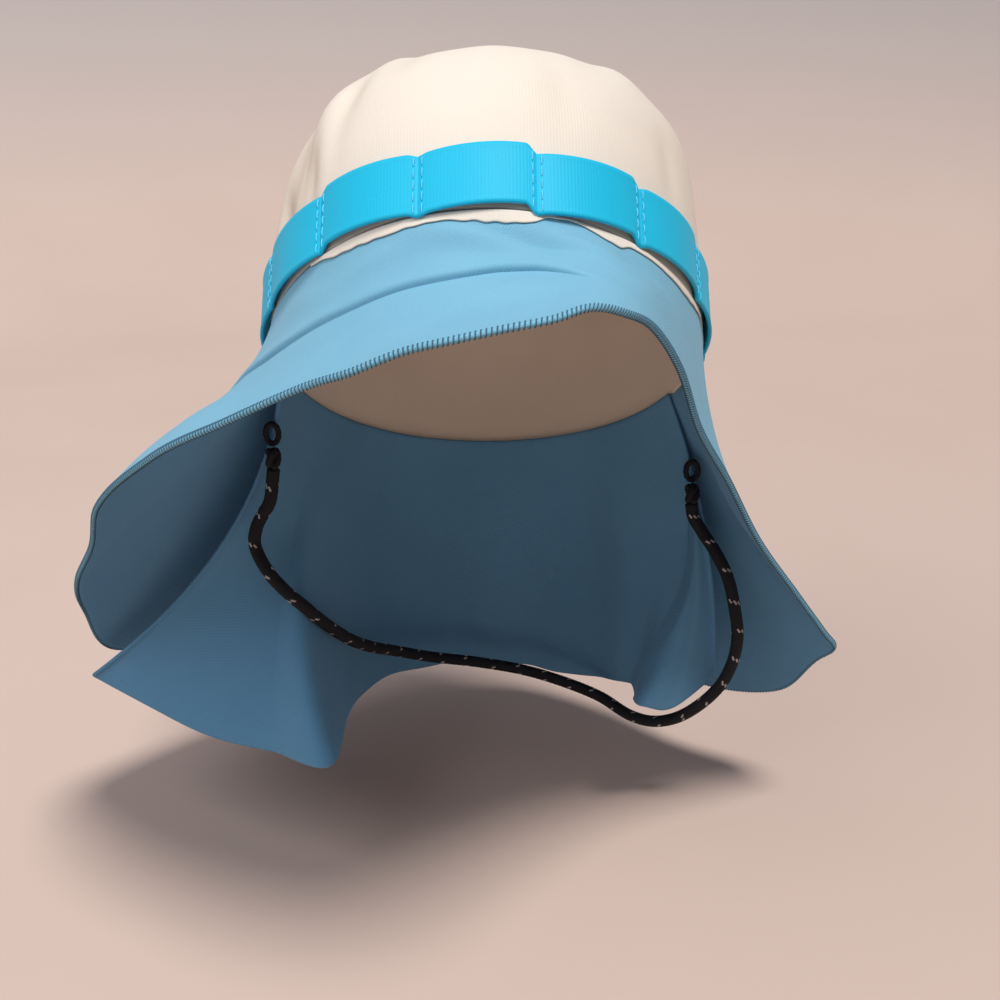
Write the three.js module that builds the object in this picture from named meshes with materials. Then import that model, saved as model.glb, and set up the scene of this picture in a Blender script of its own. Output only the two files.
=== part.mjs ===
// A sun hat: cloth crown, tacked ribbon, wide brim, neck cape and a chin cord.
// Millimetres, +Z up. The front faces -Y and +X is the wearer's left.
// The origin is the middle of the head opening, the ring where crown, brim and cape meet.
import * as THREE from "three";
import { mergeVertices } from "three/addons/utils/BufferGeometryUtils.js";

// Head opening: an ellipse about 560 mm round, tilted so that its front is high, and dipping
// at its sides.
const openingHalfWidth = 77.5;
const openingHalfDepth = 100;
const openingDip = 5;
const openingTilt = THREE.MathUtils.degToRad(38);

// Cloth walls, and the gap between pieces that touch
const crownCloth = 1.5;
const brimCloth = 1.6;
const capeCloth = 1.2;
const ribbonCloth = 1.2;
const seatGap = 0.35;

// Lengths of the cloth pieces
const crownHeight = 93;
const brimReach = 65;
const capeLength = 130;

// Ribbon: webbing tacked to the crown at even steps, standing off in a loop between tacks
const ribbonWidth = 20;
const ribbonRise = 0.6;
const ribbonSink = 2.8;
const firstTack = 11.6;
const loopStandOff = 1.8;
const loopLift = 4;
const tackShare = 0.1;
const loopFullness = 0.6;

// Fold across the front of the brim
const creaseDepth = 3;
const creasePlace = 0.385;
const creaseWidth = 0.07;
const ridgeShare = 0.8;

// How high the cloth bulges before it turns down at the brim's edge
const edgeRoll = 5;

// Chin cord, its two knots, and the small loops on the front edges of the cape
const cordDiameter = 5;
const loopCord = 1.1;
const loopHalfWidth = 2.4;
const loopHalfHeight = 3.8;
const knotRadius = 3.2;
const knotHalfHeight = 4;

// Crown profile from the opening to the top: height as a share of crownHeight,
// width and depth as shares of the opening's.
const CROWN_PROFILE = [
  { height: 0, width: 1, depth: 1 },
  { height: 0.2, width: 1, depth: 0.99 },
  { height: 0.4, width: 1, depth: 0.965 },
  { height: 0.6, width: 0.96, depth: 0.9 },
  { height: 0.76, width: 0.88, depth: 0.79 },
  { height: 0.88, width: 0.76, depth: 0.64 },
  { height: 0.96, width: 0.57, depth: 0.45 },
  { height: 0.99, width: 0.3, depth: 0.23 },
  { height: 1, width: 0, depth: 0 },
];

// Ribbon loops in order from the first tack towards +X. stand and lift are shares of
// loopStandOff and loopLift: how far the loop stands off, and how high its two ends ride.
const RIBBON_LOOPS = [
  { stand: 1, liftStart: 0, liftEnd: 0.7 },
  { stand: 1, liftStart: 0.2, liftEnd: 0.5 },
  { stand: 0.8, liftStart: 0, liftEnd: 0.1 },
  { stand: 0.8, liftStart: 0.1, liftEnd: 0 },
  { stand: 1, liftStart: 0.2, liftEnd: 0.1 },
  { stand: 0.9, liftStart: 0, liftEnd: 0.2 },
  { stand: 1, liftStart: 0.1, liftEnd: 0.1 },
  { stand: 0.9, liftStart: 0, liftEnd: 0.2 },
  { stand: 1, liftStart: 0.1, liftEnd: 0 },
  { stand: 0.8, liftStart: 0.1, liftEnd: 0.1 },
  { stand: 1, liftStart: 0, liftEnd: 0 },
  { stand: 0.9, liftStart: 0, liftEnd: 0 },
  { stand: 1, liftStart: 0.5, liftEnd: 0.2 },
  { stand: 1, liftStart: 0.1, liftEnd: 0.8 },
];

// Soft dents of the crown: where (angle in degrees, height share), how deep in mm
// (negative is a bulge), and how far they spread (degrees, height share).
const CROWN_DENTS = [
  { angle: -58, height: 0.5, depth: 4, spread: 7, reach: 0.3 },
  { angle: -44, height: 0.62, depth: -2.2, spread: 6, reach: 0.25 },
  { angle: -30, height: 0.92, depth: 3, spread: 14, reach: 0.1 },
  { angle: 34, height: 0.9, depth: 2.2, spread: 12, reach: 0.1 },
  { angle: 68, height: 0.8, depth: -5, spread: 34, reach: 0.25 },
  { angle: 140, height: 0.6, depth: 3, spread: 12, reach: 0.3 },
  { angle: -140, height: 0.55, depth: 3, spread: 12, reach: 0.3 },
];

// Brim, a row for each section round the opening. The angle is 0 at the front and grows
// towards +X. side, front and down place the edge from the opening, as shares of brimReach.
// pull and drop are how much of that the middle of the section has already gone,
// crease is how strongly the front fold shows, and roll is a share of edgeRoll.
const BRIM_SECTIONS = [
  { angle: -155, side: -0.23, front: -0.70, down: 1.52, pull: 0.6, drop: 0.4, crease: 0, roll: 0 },
  { angle: -140, side: -0.62, front: -0.60, down: 1.57, pull: 0.6, drop: 0.4, crease: 0, roll: 0 },
  { angle: -125, side: -0.99, front: -0.41, down: 1.68, pull: 0.5, drop: 0.42, crease: 0, roll: 0 },
  { angle: -112, side: -1.37, front: -0.05, down: 1.69, pull: 0.36, drop: 0.45, crease: 0, roll: 0 },
  { angle: -100, side: -1.34, front: 0.07, down: 1.44, pull: 0.26, drop: 0.42, crease: 0, roll: 0.2 },
  { angle: -90, side: -1.20, front: 0.26, down: 1.20, pull: 0.26, drop: 0.43, crease: 0, roll: 0.6 },
  { angle: -85, side: -1.02, front: 0.39, down: 0.98, pull: 0.245, drop: 0.47, crease: 0.05, roll: 0.8 },
  { angle: -80, side: -0.91, front: 0.51, down: 0.77, pull: 0.23, drop: 0.51, crease: 0.1, roll: 1 },
  { angle: -70, side: -0.51, front: 0.81, down: 0.49, pull: 0.24, drop: 0.77, crease: 0.6, roll: 0.9 },
  { angle: -58, side: -0.15, front: 0.96, down: 0.38, pull: 0.26, drop: 1, crease: 1, roll: 0.3 },
  { angle: -46, side: 0.08, front: 1.01, down: 0.33, pull: 0.28, drop: 1.2, crease: 1, roll: 0.1 },
  { angle: -34, side: 0.12, front: 1.02, down: 0.36, pull: 0.27, drop: 1.2, crease: 0.9, roll: 0 },
  { angle: -22, side: 0.12, front: 0.99, down: 0.36, pull: 0.26, drop: 1.2, crease: 0.9, roll: 0 },
  { angle: -10, side: 0.08, front: 0.99, down: 0.36, pull: 0.26, drop: 1.2, crease: 0.9, roll: 0 },
  { angle: 0, side: 0.07, front: 0.99, down: 0.33, pull: 0.26, drop: 1.25, crease: 0.9, roll: 0 },
  { angle: 12, side: 0.03, front: 1.00, down: 0.27, pull: 0.26, drop: 1.3, crease: 0.8, roll: 0 },
  { angle: 22, side: -0.01, front: 0.96, down: 0.19, pull: 0.3, drop: 1.2, crease: 0.4, roll: 0 },
  { angle: 32, side: -0.04, front: 0.87, down: 0.17, pull: 0.36, drop: 0.9, crease: 0, roll: 0 },
  { angle: 42, side: -0.05, front: 0.71, down: 0.19, pull: 0.4, drop: 0.7, crease: 0, roll: 0 },
  { angle: 52, side: -0.02, front: 0.52, down: 0.34, pull: 0.4, drop: 0.6, crease: 0, roll: 0 },
  { angle: 62, side: 0.03, front: 0.31, down: 0.60, pull: 0.4, drop: 0.55, crease: 0, roll: 0 },
  { angle: 74, side: 0.16, front: 0.21, down: 0.80, pull: 0.1, drop: 0.55, crease: 0, roll: 0 },
  { angle: 86, side: 0.38, front: 0.14, down: 1.09, pull: -0.1, drop: 0.55, crease: 0, roll: 0 },
  { angle: 98, side: 0.73, front: 0.09, down: 1.40, pull: 0.24, drop: 0.52, crease: 0, roll: 0 },
  { angle: 105, side: 0.98, front: 0.05, down: 1.62, pull: 0.3, drop: 0.506, crease: 0, roll: 0 },
  { angle: 108, side: 1.09, front: 0.03, down: 1.71, pull: 0.33, drop: 0.5, crease: 0, roll: 0 },
  { angle: 111, side: 1.03, front: -0.01, down: 1.80, pull: 0.355, drop: 0.494, crease: 0, roll: 0 },
  { angle: 118, side: 0.92, front: -0.12, down: 2.05, pull: 0.41, drop: 0.48, crease: 0, roll: 0 },
  { angle: 127, side: 0.56, front: -0.29, down: 2.07, pull: 0.5, drop: 0.46, crease: 0, roll: 0 },
  { angle: 140, side: 0.32, front: -0.51, down: 1.78, pull: 0.5, drop: 0.42, crease: 0, roll: 0 },
  { angle: 155, side: 0.08, front: -0.67, down: 1.58, pull: 0.6, drop: 0.4, crease: 0, roll: 0 },
  { angle: 180, side: 0, front: -0.63, down: 1.44, pull: 0.66, drop: 0.4, crease: 0, roll: 0 },
];

// Neck cape, a row for each hanging line from its right front edge round the back to its
// left front edge. Shares of capeLength from where the line leaves the opening: waist is
// where the line is drawn to half way down, and hem is its lower end.
const CAPE_LINES = [
  { angle: -88, waistSide: -0.04, waistFront: -0.01, hemSide: -0.70, hemFront: -0.15, hemDown: 1.07 },
  { angle: -98, waistSide: -0.05, waistFront: 0.03, hemSide: -0.49, hemFront: 0.06, hemDown: 1.05 },
  { angle: -108, waistSide: -0.11, waistFront: 0.12, hemSide: -0.30, hemFront: 0.28, hemDown: 1.01 },
  { angle: -118, waistSide: -0.16, waistFront: 0.23, hemSide: -0.15, hemFront: 0.46, hemDown: 0.94 },
  { angle: -128, waistSide: -0.20, waistFront: 0.35, hemSide: -0.01, hemFront: 0.64, hemDown: 0.87 },
  { angle: -134, waistSide: -0.17, waistFront: 0.26, hemSide: -0.04, hemFront: 0.41, hemDown: 0.84 },
  { angle: -141, waistSide: -0.15, waistFront: 0.15, hemSide: -0.07, hemFront: 0.17, hemDown: 0.88 },
  { angle: -152, waistSide: -0.11, waistFront: 0.00, hemSide: -0.05, hemFront: -0.04, hemDown: 0.90 },
  { angle: -180, waistSide: 0.02, waistFront: 0.04, hemSide: 0.02, hemFront: -0.15, hemDown: 0.92 },
  { angle: -208, waistSide: 0.12, waistFront: 0.00, hemSide: 0.06, hemFront: -0.07, hemDown: 0.95 },
  { angle: -219, waistSide: 0.14, waistFront: 0.12, hemSide: 0.06, hemFront: 0.02, hemDown: 0.94 },
  { angle: -226, waistSide: 0.17, waistFront: 0.15, hemSide: 0.07, hemFront: 0.10, hemDown: 0.93 },
  { angle: -231, waistSide: 0.24, waistFront: 0.16, hemSide: 0.02, hemFront: 0.20, hemDown: 0.91 },
  { angle: -236, waistSide: 0.27, waistFront: 0.14, hemSide: 0.01, hemFront: 0.23, hemDown: 0.92 },
  { angle: -243, waistSide: 0.24, waistFront: 0.10, hemSide: 0.07, hemFront: 0.15, hemDown: 0.98 },
  { angle: -250, waistSide: 0.18, waistFront: 0.03, hemSide: 0.18, hemFront: 0.04, hemDown: 0.94 },
];

// How far down the cape's front edges the cord's loops are sewn, as shares of the edge
const RIGHT_LOOP_SHARE = 0.2;
const LEFT_LOOP_SHARE = 0.25;

// The cord's way between its knots: down beside the face, round behind the neck, up again
const CORD_ROUTE = [
  [-83, -9, -57], [-86, -8, -62], [-89, -8, -68], [-90, -8, -75], [-85, -11, -85],
  [-78, -11, -94], [-72, -9, -101], [-67, -4, -109], [-62, 4, -118], [-57, 14, -127],
  [-51, 30, -138], [-43, 48, -149], [-27, 63, -160], [-6, 71, -167], [16, 70, -171],
  [35, 61, -173], [49, 50, -174], [61, 35, -175], [70, 26, -173], [79, 20, -168],
  [88, 15, -159], [96, 11, -147], [100, 9, -135], [101, 8, -123], [99, 8, -110],
  [96, 10, -98], [91, 13, -88], [85.5, 16, -80], [82, 17, -74],
];

// How finely the pieces are faceted
const CROWN_COLUMNS = 60;
const CROWN_ROWS = 12;
const COLUMNS_PER_LOOP = 8;
const BRIM_COLUMNS = 84;
const BRIM_ROWS = 11;
const CAPE_COLUMNS = 58;
const CAPE_ROWS = 9;
const CORD_SIDES = 8;
const CORD_STEPS = 50;
const LOOP_SIDES = 8;
const LOOP_STEPS = 20;
const KNOT_STEPS = 12;
const KNOT_RINGS = 8;

const radians = THREE.MathUtils.degToRad;
const openingUp = new THREE.Vector3(0, Math.sin(openingTilt), Math.cos(openingTilt));

// A point of the opening, lifted above it: angle in degrees, 0 at the front. The opening is
// lowest at its two sides.
function ringPoint(angle, halfWidth, halfDepth, lift) {
  const side = halfWidth * Math.sin(radians(angle));
  const front = halfDepth * Math.cos(radians(angle));
  const dip = openingDip * Math.sin(radians(angle)) ** 2;
  return new THREE.Vector3(
    side,
    -front * Math.cos(openingTilt),
    front * Math.sin(openingTilt),
  ).addScaledVector(openingUp, lift - dip);
}

// Smooth values between the rows of a table, looked up by its first column.
function smoothTable(rows, columns) {
  const [key, ...values] = columns;
  const places = Float32Array.from(rows, (row) => row[key]);
  const samples = Float32Array.from(rows.flatMap((row) => values.map((name) => row[name])));
  const interpolant = new THREE.CubicInterpolant(places, samples, values.length);
  return (at) => {
    const found = interpolant.evaluate(at);
    return Object.fromEntries(values.map((name, i) => [name, found[i]]));
  };
}

// The rows of a table that goes once round, with a few repeated past both ends.
function wrapped(rows) {
  const turned = (row, turn) => ({ ...row, angle: row.angle + turn });
  return [
    ...rows.slice(-3).map((row) => turned(row, -360)),
    ...rows,
    ...rows.slice(0, 3).map((row) => turned(row, 360)),
  ];
}

// Swaps two corners of each triangle when the closed surface is inside out.
function faceOutwards(geometry) {
  const place = geometry.getAttribute("position");
  const index = geometry.index;
  const [a, b, c] = [new THREE.Vector3(), new THREE.Vector3(), new THREE.Vector3()];
  let volume = 0;
  for (let i = 0; i < index.count; i += 3) {
    a.fromBufferAttribute(place, index.getX(i));
    b.fromBufferAttribute(place, index.getX(i + 1));
    c.fromBufferAttribute(place, index.getX(i + 2));
    volume += a.dot(b.cross(c));
  }
  if (volume < 0) {
    for (let i = 0; i < index.count; i += 3) {
      const second = index.getX(i + 1);
      index.setX(i + 1, index.getX(i + 2));
      index.setX(i + 2, second);
    }
  }
  return geometry;
}

// A wall of cloth on both sides of a middle surface middle(u, v), u and v from 0 to 1.
// around closes u on itself, and crowned closes the surface in one point at v = 1.
function clothWall(middle, columns, rows, thickness, { around = false, crowned = false } = {}) {
  const across = around ? columns : columns + 1;
  const step = 1e-3;
  const inUnit = (value) => (around ? value : THREE.MathUtils.clamp(value, 0, 1));
  const normalAt = (u, v) => {
    const along = middle(inUnit(u + step), v).sub(middle(inUnit(u - step), v));
    const down = middle(u, Math.min(v + step, 1)).sub(middle(u, Math.max(v - step, 0)));
    return along.cross(down).normalize();
  };
  const places = [];
  const add = (point) => places.push(point.x, point.y, point.z) / 3 - 1;
  const faces = [1, -1].map((face) => {
    const grid = [];
    for (let j = 0; j <= rows; j++) {
      const v = j / rows;
      if (crowned && j === rows) {
        const top = middle(0, 1).addScaledVector(normalAt(0, 1 - step), (face * thickness) / 2);
        const pole = add(top);
        grid.push(Array.from({ length: across }, () => pole));
        continue;
      }
      const row = [];
      for (let i = 0; i < across; i++) {
        const u = i / columns;
        row.push(add(middle(u, v).addScaledVector(normalAt(u, v), (face * thickness) / 2)));
      }
      grid.push(row);
    }
    return grid;
  });
  const index = [];
  const quad = (a, b, c, d) => {
    if (a !== b) index.push(a, b, c);
    if (c !== d) index.push(a, c, d);
  };
  const [outer, inner] = faces;
  for (let i = 0; i < columns; i++) {
    const next = around ? (i + 1) % columns : i + 1;
    for (let j = 0; j < rows; j++) {
      quad(outer[j][i], outer[j][next], outer[j + 1][next], outer[j + 1][i]);
      quad(inner[j][next], inner[j][i], inner[j + 1][i], inner[j + 1][next]);
    }
    quad(outer[0][next], outer[0][i], inner[0][i], inner[0][next]);
    if (!crowned) {
      quad(outer[rows][i], outer[rows][next], inner[rows][next], inner[rows][i]);
    }
  }
  if (!around) {
    for (let j = 0; j < rows; j++) {
      quad(outer[j][0], outer[j + 1][0], inner[j + 1][0], inner[j][0]);
      quad(outer[j + 1][columns], outer[j][columns], inner[j][columns], inner[j + 1][columns]);
    }
  }
  const geometry = new THREE.BufferGeometry();
  geometry.setAttribute("position", new THREE.Float32BufferAttribute(places, 3));
  geometry.setIndex(index);
  return faceOutwards(geometry);
}

// The crown's middle surface at an angle and a distance along its profile.
const profileSteps = CROWN_PROFILE.map((row, i) => ({ ...row, along: i / (CROWN_PROFILE.length - 1) }));
const crownProfile = smoothTable(profileSteps, ["along", "height", "width", "depth"]);

function turnBetween(a, b) {
  return ((((a - b) % 360) + 540) % 360) - 180;
}

function crownPoint(angle, along) {
  const { height, width, depth } = crownProfile(along);
  const dent = CROWN_DENTS.reduce((sum, row) => {
    const turned = turnBetween(angle, row.angle) / row.spread;
    const raised = (height - row.height) / row.reach;
    return sum + row.depth * Math.exp(-(turned ** 2) - raised ** 2);
  }, 0);
  const shrink = 1 - dent / openingHalfWidth;
  return ringPoint(
    angle,
    openingHalfWidth * Math.max(width, 0) * shrink,
    openingHalfDepth * Math.max(depth, 0) * shrink,
    crownHeight * height + openingDip * height * Math.sin(radians(angle)) ** 2,
  );
}

function crownGeometry() {
  return clothWall(
    (u, v) => crownPoint(360 * u, v),
    CROWN_COLUMNS,
    CROWN_ROWS,
    crownCloth,
    { around: true, crowned: true },
  );
}

// The ribbon follows the crown's foot and sits lowest at the front. Between two tacks it
// stands off and rises a little.
function ribbonPoint(u, v) {
  const loops = RIBBON_LOOPS.length;
  const angle = firstTack + 360 * u;
  const turned = (u * loops + loops) % loops;
  const phase = turned % 1;
  const loop = RIBBON_LOOPS[Math.floor(turned)];
  const held = Math.min(phase / tackShare, (1 - phase) / tackShare, 1);
  const bulge = Math.sin(Math.PI * phase) ** loopFullness * loopStandOff * loop.stand;
  const lift = loopLift * held * THREE.MathUtils.lerp(loop.liftStart, loop.liftEnd, phase);
  const sink = ribbonSink * Math.max(Math.cos(radians(angle)), 0) ** 2;
  const out = crownCloth / 2 + seatGap + ribbonCloth / 2 + bulge;
  return ringPoint(
    angle,
    openingHalfWidth + out,
    openingHalfDepth + out,
    ribbonRise + lift - sink + ribbonWidth * v,
  );
}

function ribbonGeometry() {
  return clothWall(ribbonPoint, RIBBON_LOOPS.length * COLUMNS_PER_LOOP, 1, ribbonCloth, { around: true });
}

// The brim leaves the opening just under the crown's edge. Each section is a bend from the
// opening to the edge, with the fold pressed into it near the front.
const brimTable = smoothTable(wrapped(BRIM_SECTIONS), [
  "angle", "side", "front", "down", "pull", "drop", "crease", "roll",
]);

function bend(start, middle, end, share) {
  return new THREE.QuadraticBezierCurve3(start, middle, end).getPoint(share);
}

function brimPoint(angle, share) {
  const row = brimTable(turnBetween(angle, 0));
  const root = ringPoint(angle, openingHalfWidth, openingHalfDepth, -brimCloth / 2 - seatGap);
  const reach = new THREE.Vector3(row.side, -row.front, -row.down).multiplyScalar(brimReach);
  const waist = root.clone().add(
    new THREE.Vector3(row.pull * reach.x, row.pull * reach.y, row.drop * reach.z),
  );
  const point = bend(root, waist, root.clone().add(reach), share);
  const valley = Math.exp(-(((share - creasePlace) / creaseWidth) ** 2));
  const ridge = Math.exp(-(((share - creasePlace - 2 * creaseWidth) / creaseWidth) ** 2));
  point.z += row.crease * creaseDepth * (ridgeShare * ridge - valley);
  point.z += row.roll * edgeRoll * Math.sin(Math.PI * share ** 3);
  return point;
}

function brimGeometry() {
  return clothWall(
    (u, v) => brimPoint(360 * u, v),
    BRIM_COLUMNS,
    BRIM_ROWS,
    brimCloth,
    { around: true },
  );
}

// The cape hangs inside the brim from the same opening, round the back from edge to edge.
const capeRows = CAPE_LINES.map((row) => ({ ...row, turned: -row.angle }));
const capeTable = smoothTable(capeRows, [
  "turned", "waistSide", "waistFront", "hemSide", "hemFront", "hemDown",
]);
const capeStart = capeRows[0].turned;
const capeEnd = capeRows[capeRows.length - 1].turned;
const capeInset = (brimCloth / 2 + capeCloth / 2 + seatGap) / Math.cos(openingTilt);

function capePoint(u, v) {
  const turned = THREE.MathUtils.lerp(capeStart, capeEnd, u);
  const row = capeTable(turned);
  const root = ringPoint(
    -turned,
    openingHalfWidth - capeInset,
    openingHalfDepth - capeInset,
    -capeCloth / 2 - seatGap,
  );
  const hem = new THREE.Vector3(row.hemSide, -row.hemFront, -row.hemDown);
  const waist = new THREE.Vector3(row.waistSide, -row.waistFront, -row.hemDown / 2);
  return bend(
    root,
    root.clone().addScaledVector(waist, capeLength),
    root.clone().addScaledVector(hem, capeLength),
    v,
  );
}

function capeGeometry() {
  return clothWall(capePoint, CAPE_COLUMNS, CAPE_ROWS, capeCloth);
}

// A small cord loop lies against the cape's front edge, and a knot hangs in it.
function loopCentre(u, share) {
  const seat = capePoint(u, share);
  seat.y -= capeCloth / 2 + seatGap + loopCord;
  return seat;
}

function knotCentre(u, share) {
  const centre = loopCentre(u, share);
  centre.y -= knotRadius - loopCord;
  centre.z -= loopHalfHeight + loopCord + knotHalfHeight;
  return centre;
}

function loopGeometry() {
  const ring = new THREE.TorusGeometry(loopHalfWidth, loopCord, LOOP_SIDES, LOOP_STEPS);
  ring.scale(1, (loopHalfHeight + loopCord) / (loopHalfWidth + loopCord), 1);
  ring.rotateX(Math.PI / 2);
  return ring;
}

function knotGeometry() {
  const knot = new THREE.SphereGeometry(1, KNOT_STEPS, KNOT_RINGS);
  knot.scale(knotRadius, knotHalfHeight, knotRadius);
  knot.rotateX(Math.PI / 2);
  return knot;
}

// The cord: a round section carried along its way from knot to knot.
function cordGeometry(rightKnot, leftKnot) {
  const belowKnot = new THREE.Vector3(0, 0, -knotHalfHeight - 2 * seatGap);
  const route = [
    rightKnot.clone().add(belowKnot),
    ...CORD_ROUTE.map((point) => new THREE.Vector3(...point)),
    leftKnot.clone().add(belowKnot),
  ];
  const section = new THREE.Shape();
  for (let i = 0; i < CORD_SIDES; i++) {
    const turn = (2 * Math.PI * i) / CORD_SIDES;
    const [x, y] = [Math.cos(turn), Math.sin(turn)].map((value) => (value * cordDiameter) / 2);
    if (i === 0) section.moveTo(x, y);
    else section.lineTo(x, y);
  }
  section.closePath();
  return new THREE.ExtrudeGeometry(section, {
    steps: CORD_STEPS,
    curveSegments: 1,
    extrudePath: new THREE.CatmullRomCurve3(route, false, "centripetal"),
  });
}

const COLOURS = {
  creamCloth: { color: 0xfdf0e0, roughness: 0.9 },
  cyanWebbing: { color: 0x2dcdf5, roughness: 0.7 },
  blueCloth: { color: 0x7db4d0, roughness: 0.85 },
  blackCord: { color: 0x14141c, roughness: 0.8 },
};

function piece(name, geometry, finish, position = new THREE.Vector3()) {
  const bare = geometry.clone();
  bare.deleteAttribute("normal");
  bare.deleteAttribute("uv");
  const merged = mergeVertices(bare, 1e-4);
  merged.computeVertexNormals();
  const mesh = new THREE.Mesh(merged, new THREE.MeshStandardMaterial({ ...COLOURS[finish], metalness: 0 }));
  mesh.name = name;
  mesh.position.copy(position);
  return mesh;
}

const rightKnot = knotCentre(0, RIGHT_LOOP_SHARE);
const leftKnot = knotCentre(1, LEFT_LOOP_SHARE);

const hat = new THREE.Group();
hat.add(piece("crown", crownGeometry(), "creamCloth"));
hat.add(piece("ribbon", ribbonGeometry(), "cyanWebbing"));
hat.add(piece("brim", brimGeometry(), "blueCloth"));
hat.add(piece("neck_cape", capeGeometry(), "blueCloth"));
hat.add(piece("cord_loop_right", loopGeometry(), "blackCord", loopCentre(0, RIGHT_LOOP_SHARE)));
hat.add(piece("cord_loop_left", loopGeometry(), "blackCord", loopCentre(1, LEFT_LOOP_SHARE)));
hat.add(piece("cord_knot_right", knotGeometry(), "blackCord", rightKnot));
hat.add(piece("cord_knot_left", knotGeometry(), "blackCord", leftKnot));
hat.add(piece("chin_cord", cordGeometry(rightKnot, leftKnot), "blackCord"));

export default hat;
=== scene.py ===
# %% [markdown]
# # A cloth sun hat
# This lesson dresses a cloth hat: a cream crown, a tacked blue ribbon, a wide drooping brim, a
# cape that hangs over the neck, and a black chin cord. The plain solids of the hat come first as
# a fixed frame, in metres, with +Z up, the front at -Y and +X at the wearer's left. Every cloth
# piece is then made again as a fine grid on the same curves, so that folds and hems have room.

# %% Load the frame
import math

import bmesh
import bpy
import numpy as np
from mathutils import Matrix, Vector


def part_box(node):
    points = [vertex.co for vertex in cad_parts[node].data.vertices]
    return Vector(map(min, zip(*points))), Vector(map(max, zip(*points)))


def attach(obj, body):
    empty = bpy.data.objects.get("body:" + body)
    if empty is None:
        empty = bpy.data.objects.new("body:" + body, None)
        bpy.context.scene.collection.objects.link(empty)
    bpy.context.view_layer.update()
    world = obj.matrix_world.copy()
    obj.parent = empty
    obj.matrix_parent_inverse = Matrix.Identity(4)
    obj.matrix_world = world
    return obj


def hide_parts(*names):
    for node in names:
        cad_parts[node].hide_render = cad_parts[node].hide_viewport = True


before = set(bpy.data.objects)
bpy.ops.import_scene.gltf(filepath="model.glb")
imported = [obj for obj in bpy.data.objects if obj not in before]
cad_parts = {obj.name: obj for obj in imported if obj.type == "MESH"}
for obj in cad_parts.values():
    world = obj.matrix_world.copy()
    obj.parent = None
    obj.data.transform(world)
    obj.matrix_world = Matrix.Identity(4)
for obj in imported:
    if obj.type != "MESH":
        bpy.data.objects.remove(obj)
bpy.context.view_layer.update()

MM = 0.001
print("nodes:", sorted(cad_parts))

# %% [markdown]
# ## The sizes of the hat
# A hat is cut from a few sizes: the opening for the head, the height of the crown, the reach of
# the brim and the length of the cape. The opening is an oval, tilted so that its front is high,
# and it dips a little at the two sides. All sizes here are in millimetres and degrees.

# %% Driving sizes
OPENING_HALF_WIDTH = 77.5
OPENING_HALF_DEPTH = 100
OPENING_DIP = 5
OPENING_TILT = math.radians(38)
CROWN_CLOTH, BRIM_CLOTH, CAPE_CLOTH, RIBBON_CLOTH = 1.5, 1.6, 1.2, 1.2
SEAT_GAP = 0.35
CROWN_HEIGHT = 93
BRIM_REACH = 65
CAPE_LENGTH = 130
OPENING_UP = np.array([0, math.sin(OPENING_TILT), math.cos(OPENING_TILT)])


def ring_point(angle, half_width, half_depth, lift):
    """Points of the opening: side = half width times sin(angle), front = half depth times
    cos(angle) laid in the tilted plane, then lift less the dip, dip times sin(angle) squared."""
    turn = np.radians(angle)
    side = half_width * np.sin(turn)
    front = half_depth * np.cos(turn)
    flat = np.stack([side, -front * math.cos(OPENING_TILT), front * math.sin(OPENING_TILT)], -1)
    rise = np.asarray(lift - OPENING_DIP * np.sin(turn) ** 2)
    return flat + rise[..., None] * OPENING_UP


oval = ring_point(np.linspace(0, 360, 721), OPENING_HALF_WIDTH, OPENING_HALF_DEPTH, 0.0)
print("opening, mm round:", round(float(np.linalg.norm(np.diff(oval, axis=0), axis=1).sum())))

# %% [markdown]
# ## Smooth tables
# A maker notes a cloth form as a few sections. Between two rows the value has to run smoothly,
# so each column is a cubic curve whose slope at a row is the mean of the slopes on both sides.
# A table that goes once round is repeated past both ends, so that its seam is smooth too.

# %% A table read as a smooth curve
def cubic(t, start, leave, end, arrive):
    """The cubic from start at t = 0, where its slope is leave, to end at t = 1, where its slope is
    arrive."""
    return (
        (2 * t**3 - 3 * t**2 + 1) * start + (t**3 - 2 * t**2 + t) * leave
        + (3 * t**2 - 2 * t**3) * end + (t**3 - t**2) * arrive
    )


def ease(share):
    """From 0 to 1 with level ends: the share squared times 3 less twice the share."""
    share = np.clip(share, 0, 1)
    return share**2 * (3 - 2 * share)


def smooth_table(rows):
    """Hermite cubics through the rows, looked up by the first column: the slope at a row is the
    mean of the two chord slopes beside it, and nought at both ends of the table."""
    rows = np.array(rows, float)
    places, values = rows[:, 0], rows[:, 1:]
    chords = np.diff(values, axis=0) / np.diff(places)[:, None]
    level = np.zeros((1, values.shape[1]))
    slopes = np.vstack([level, (chords[:-1] + chords[1:]) / 2, level])

    def at(where):
        """The columns at these places, each in an array of the same shape as where."""
        i = np.clip(np.searchsorted(places, where, "right") - 1, 0, len(places) - 2)
        step = (places[i + 1] - places[i])[..., None]
        p = (where - places[i])[..., None] / step
        found = cubic(p, values[i], step * slopes[i], values[i + 1], step * slopes[i + 1])
        return np.moveaxis(found, -1, 0)

    return at


def once_round(rows):
    """The rows of a table by angle, with three of them repeated a full turn past each end."""
    before = [(angle - 360, *rest) for angle, *rest in rows[-3:]]
    after = [(angle + 360, *rest) for angle, *rest in rows[:3]]
    return before + list(rows) + after


def turn_between(a, b):
    """The turn from b to a in degrees, from -180 to 180."""
    return (a - b + 180) % 360 - 180


def unit(vectors):
    """Each vector divided by its length."""
    return vectors / np.maximum(np.linalg.norm(vectors, axis=-1, keepdims=True), 1e-9)


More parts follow.
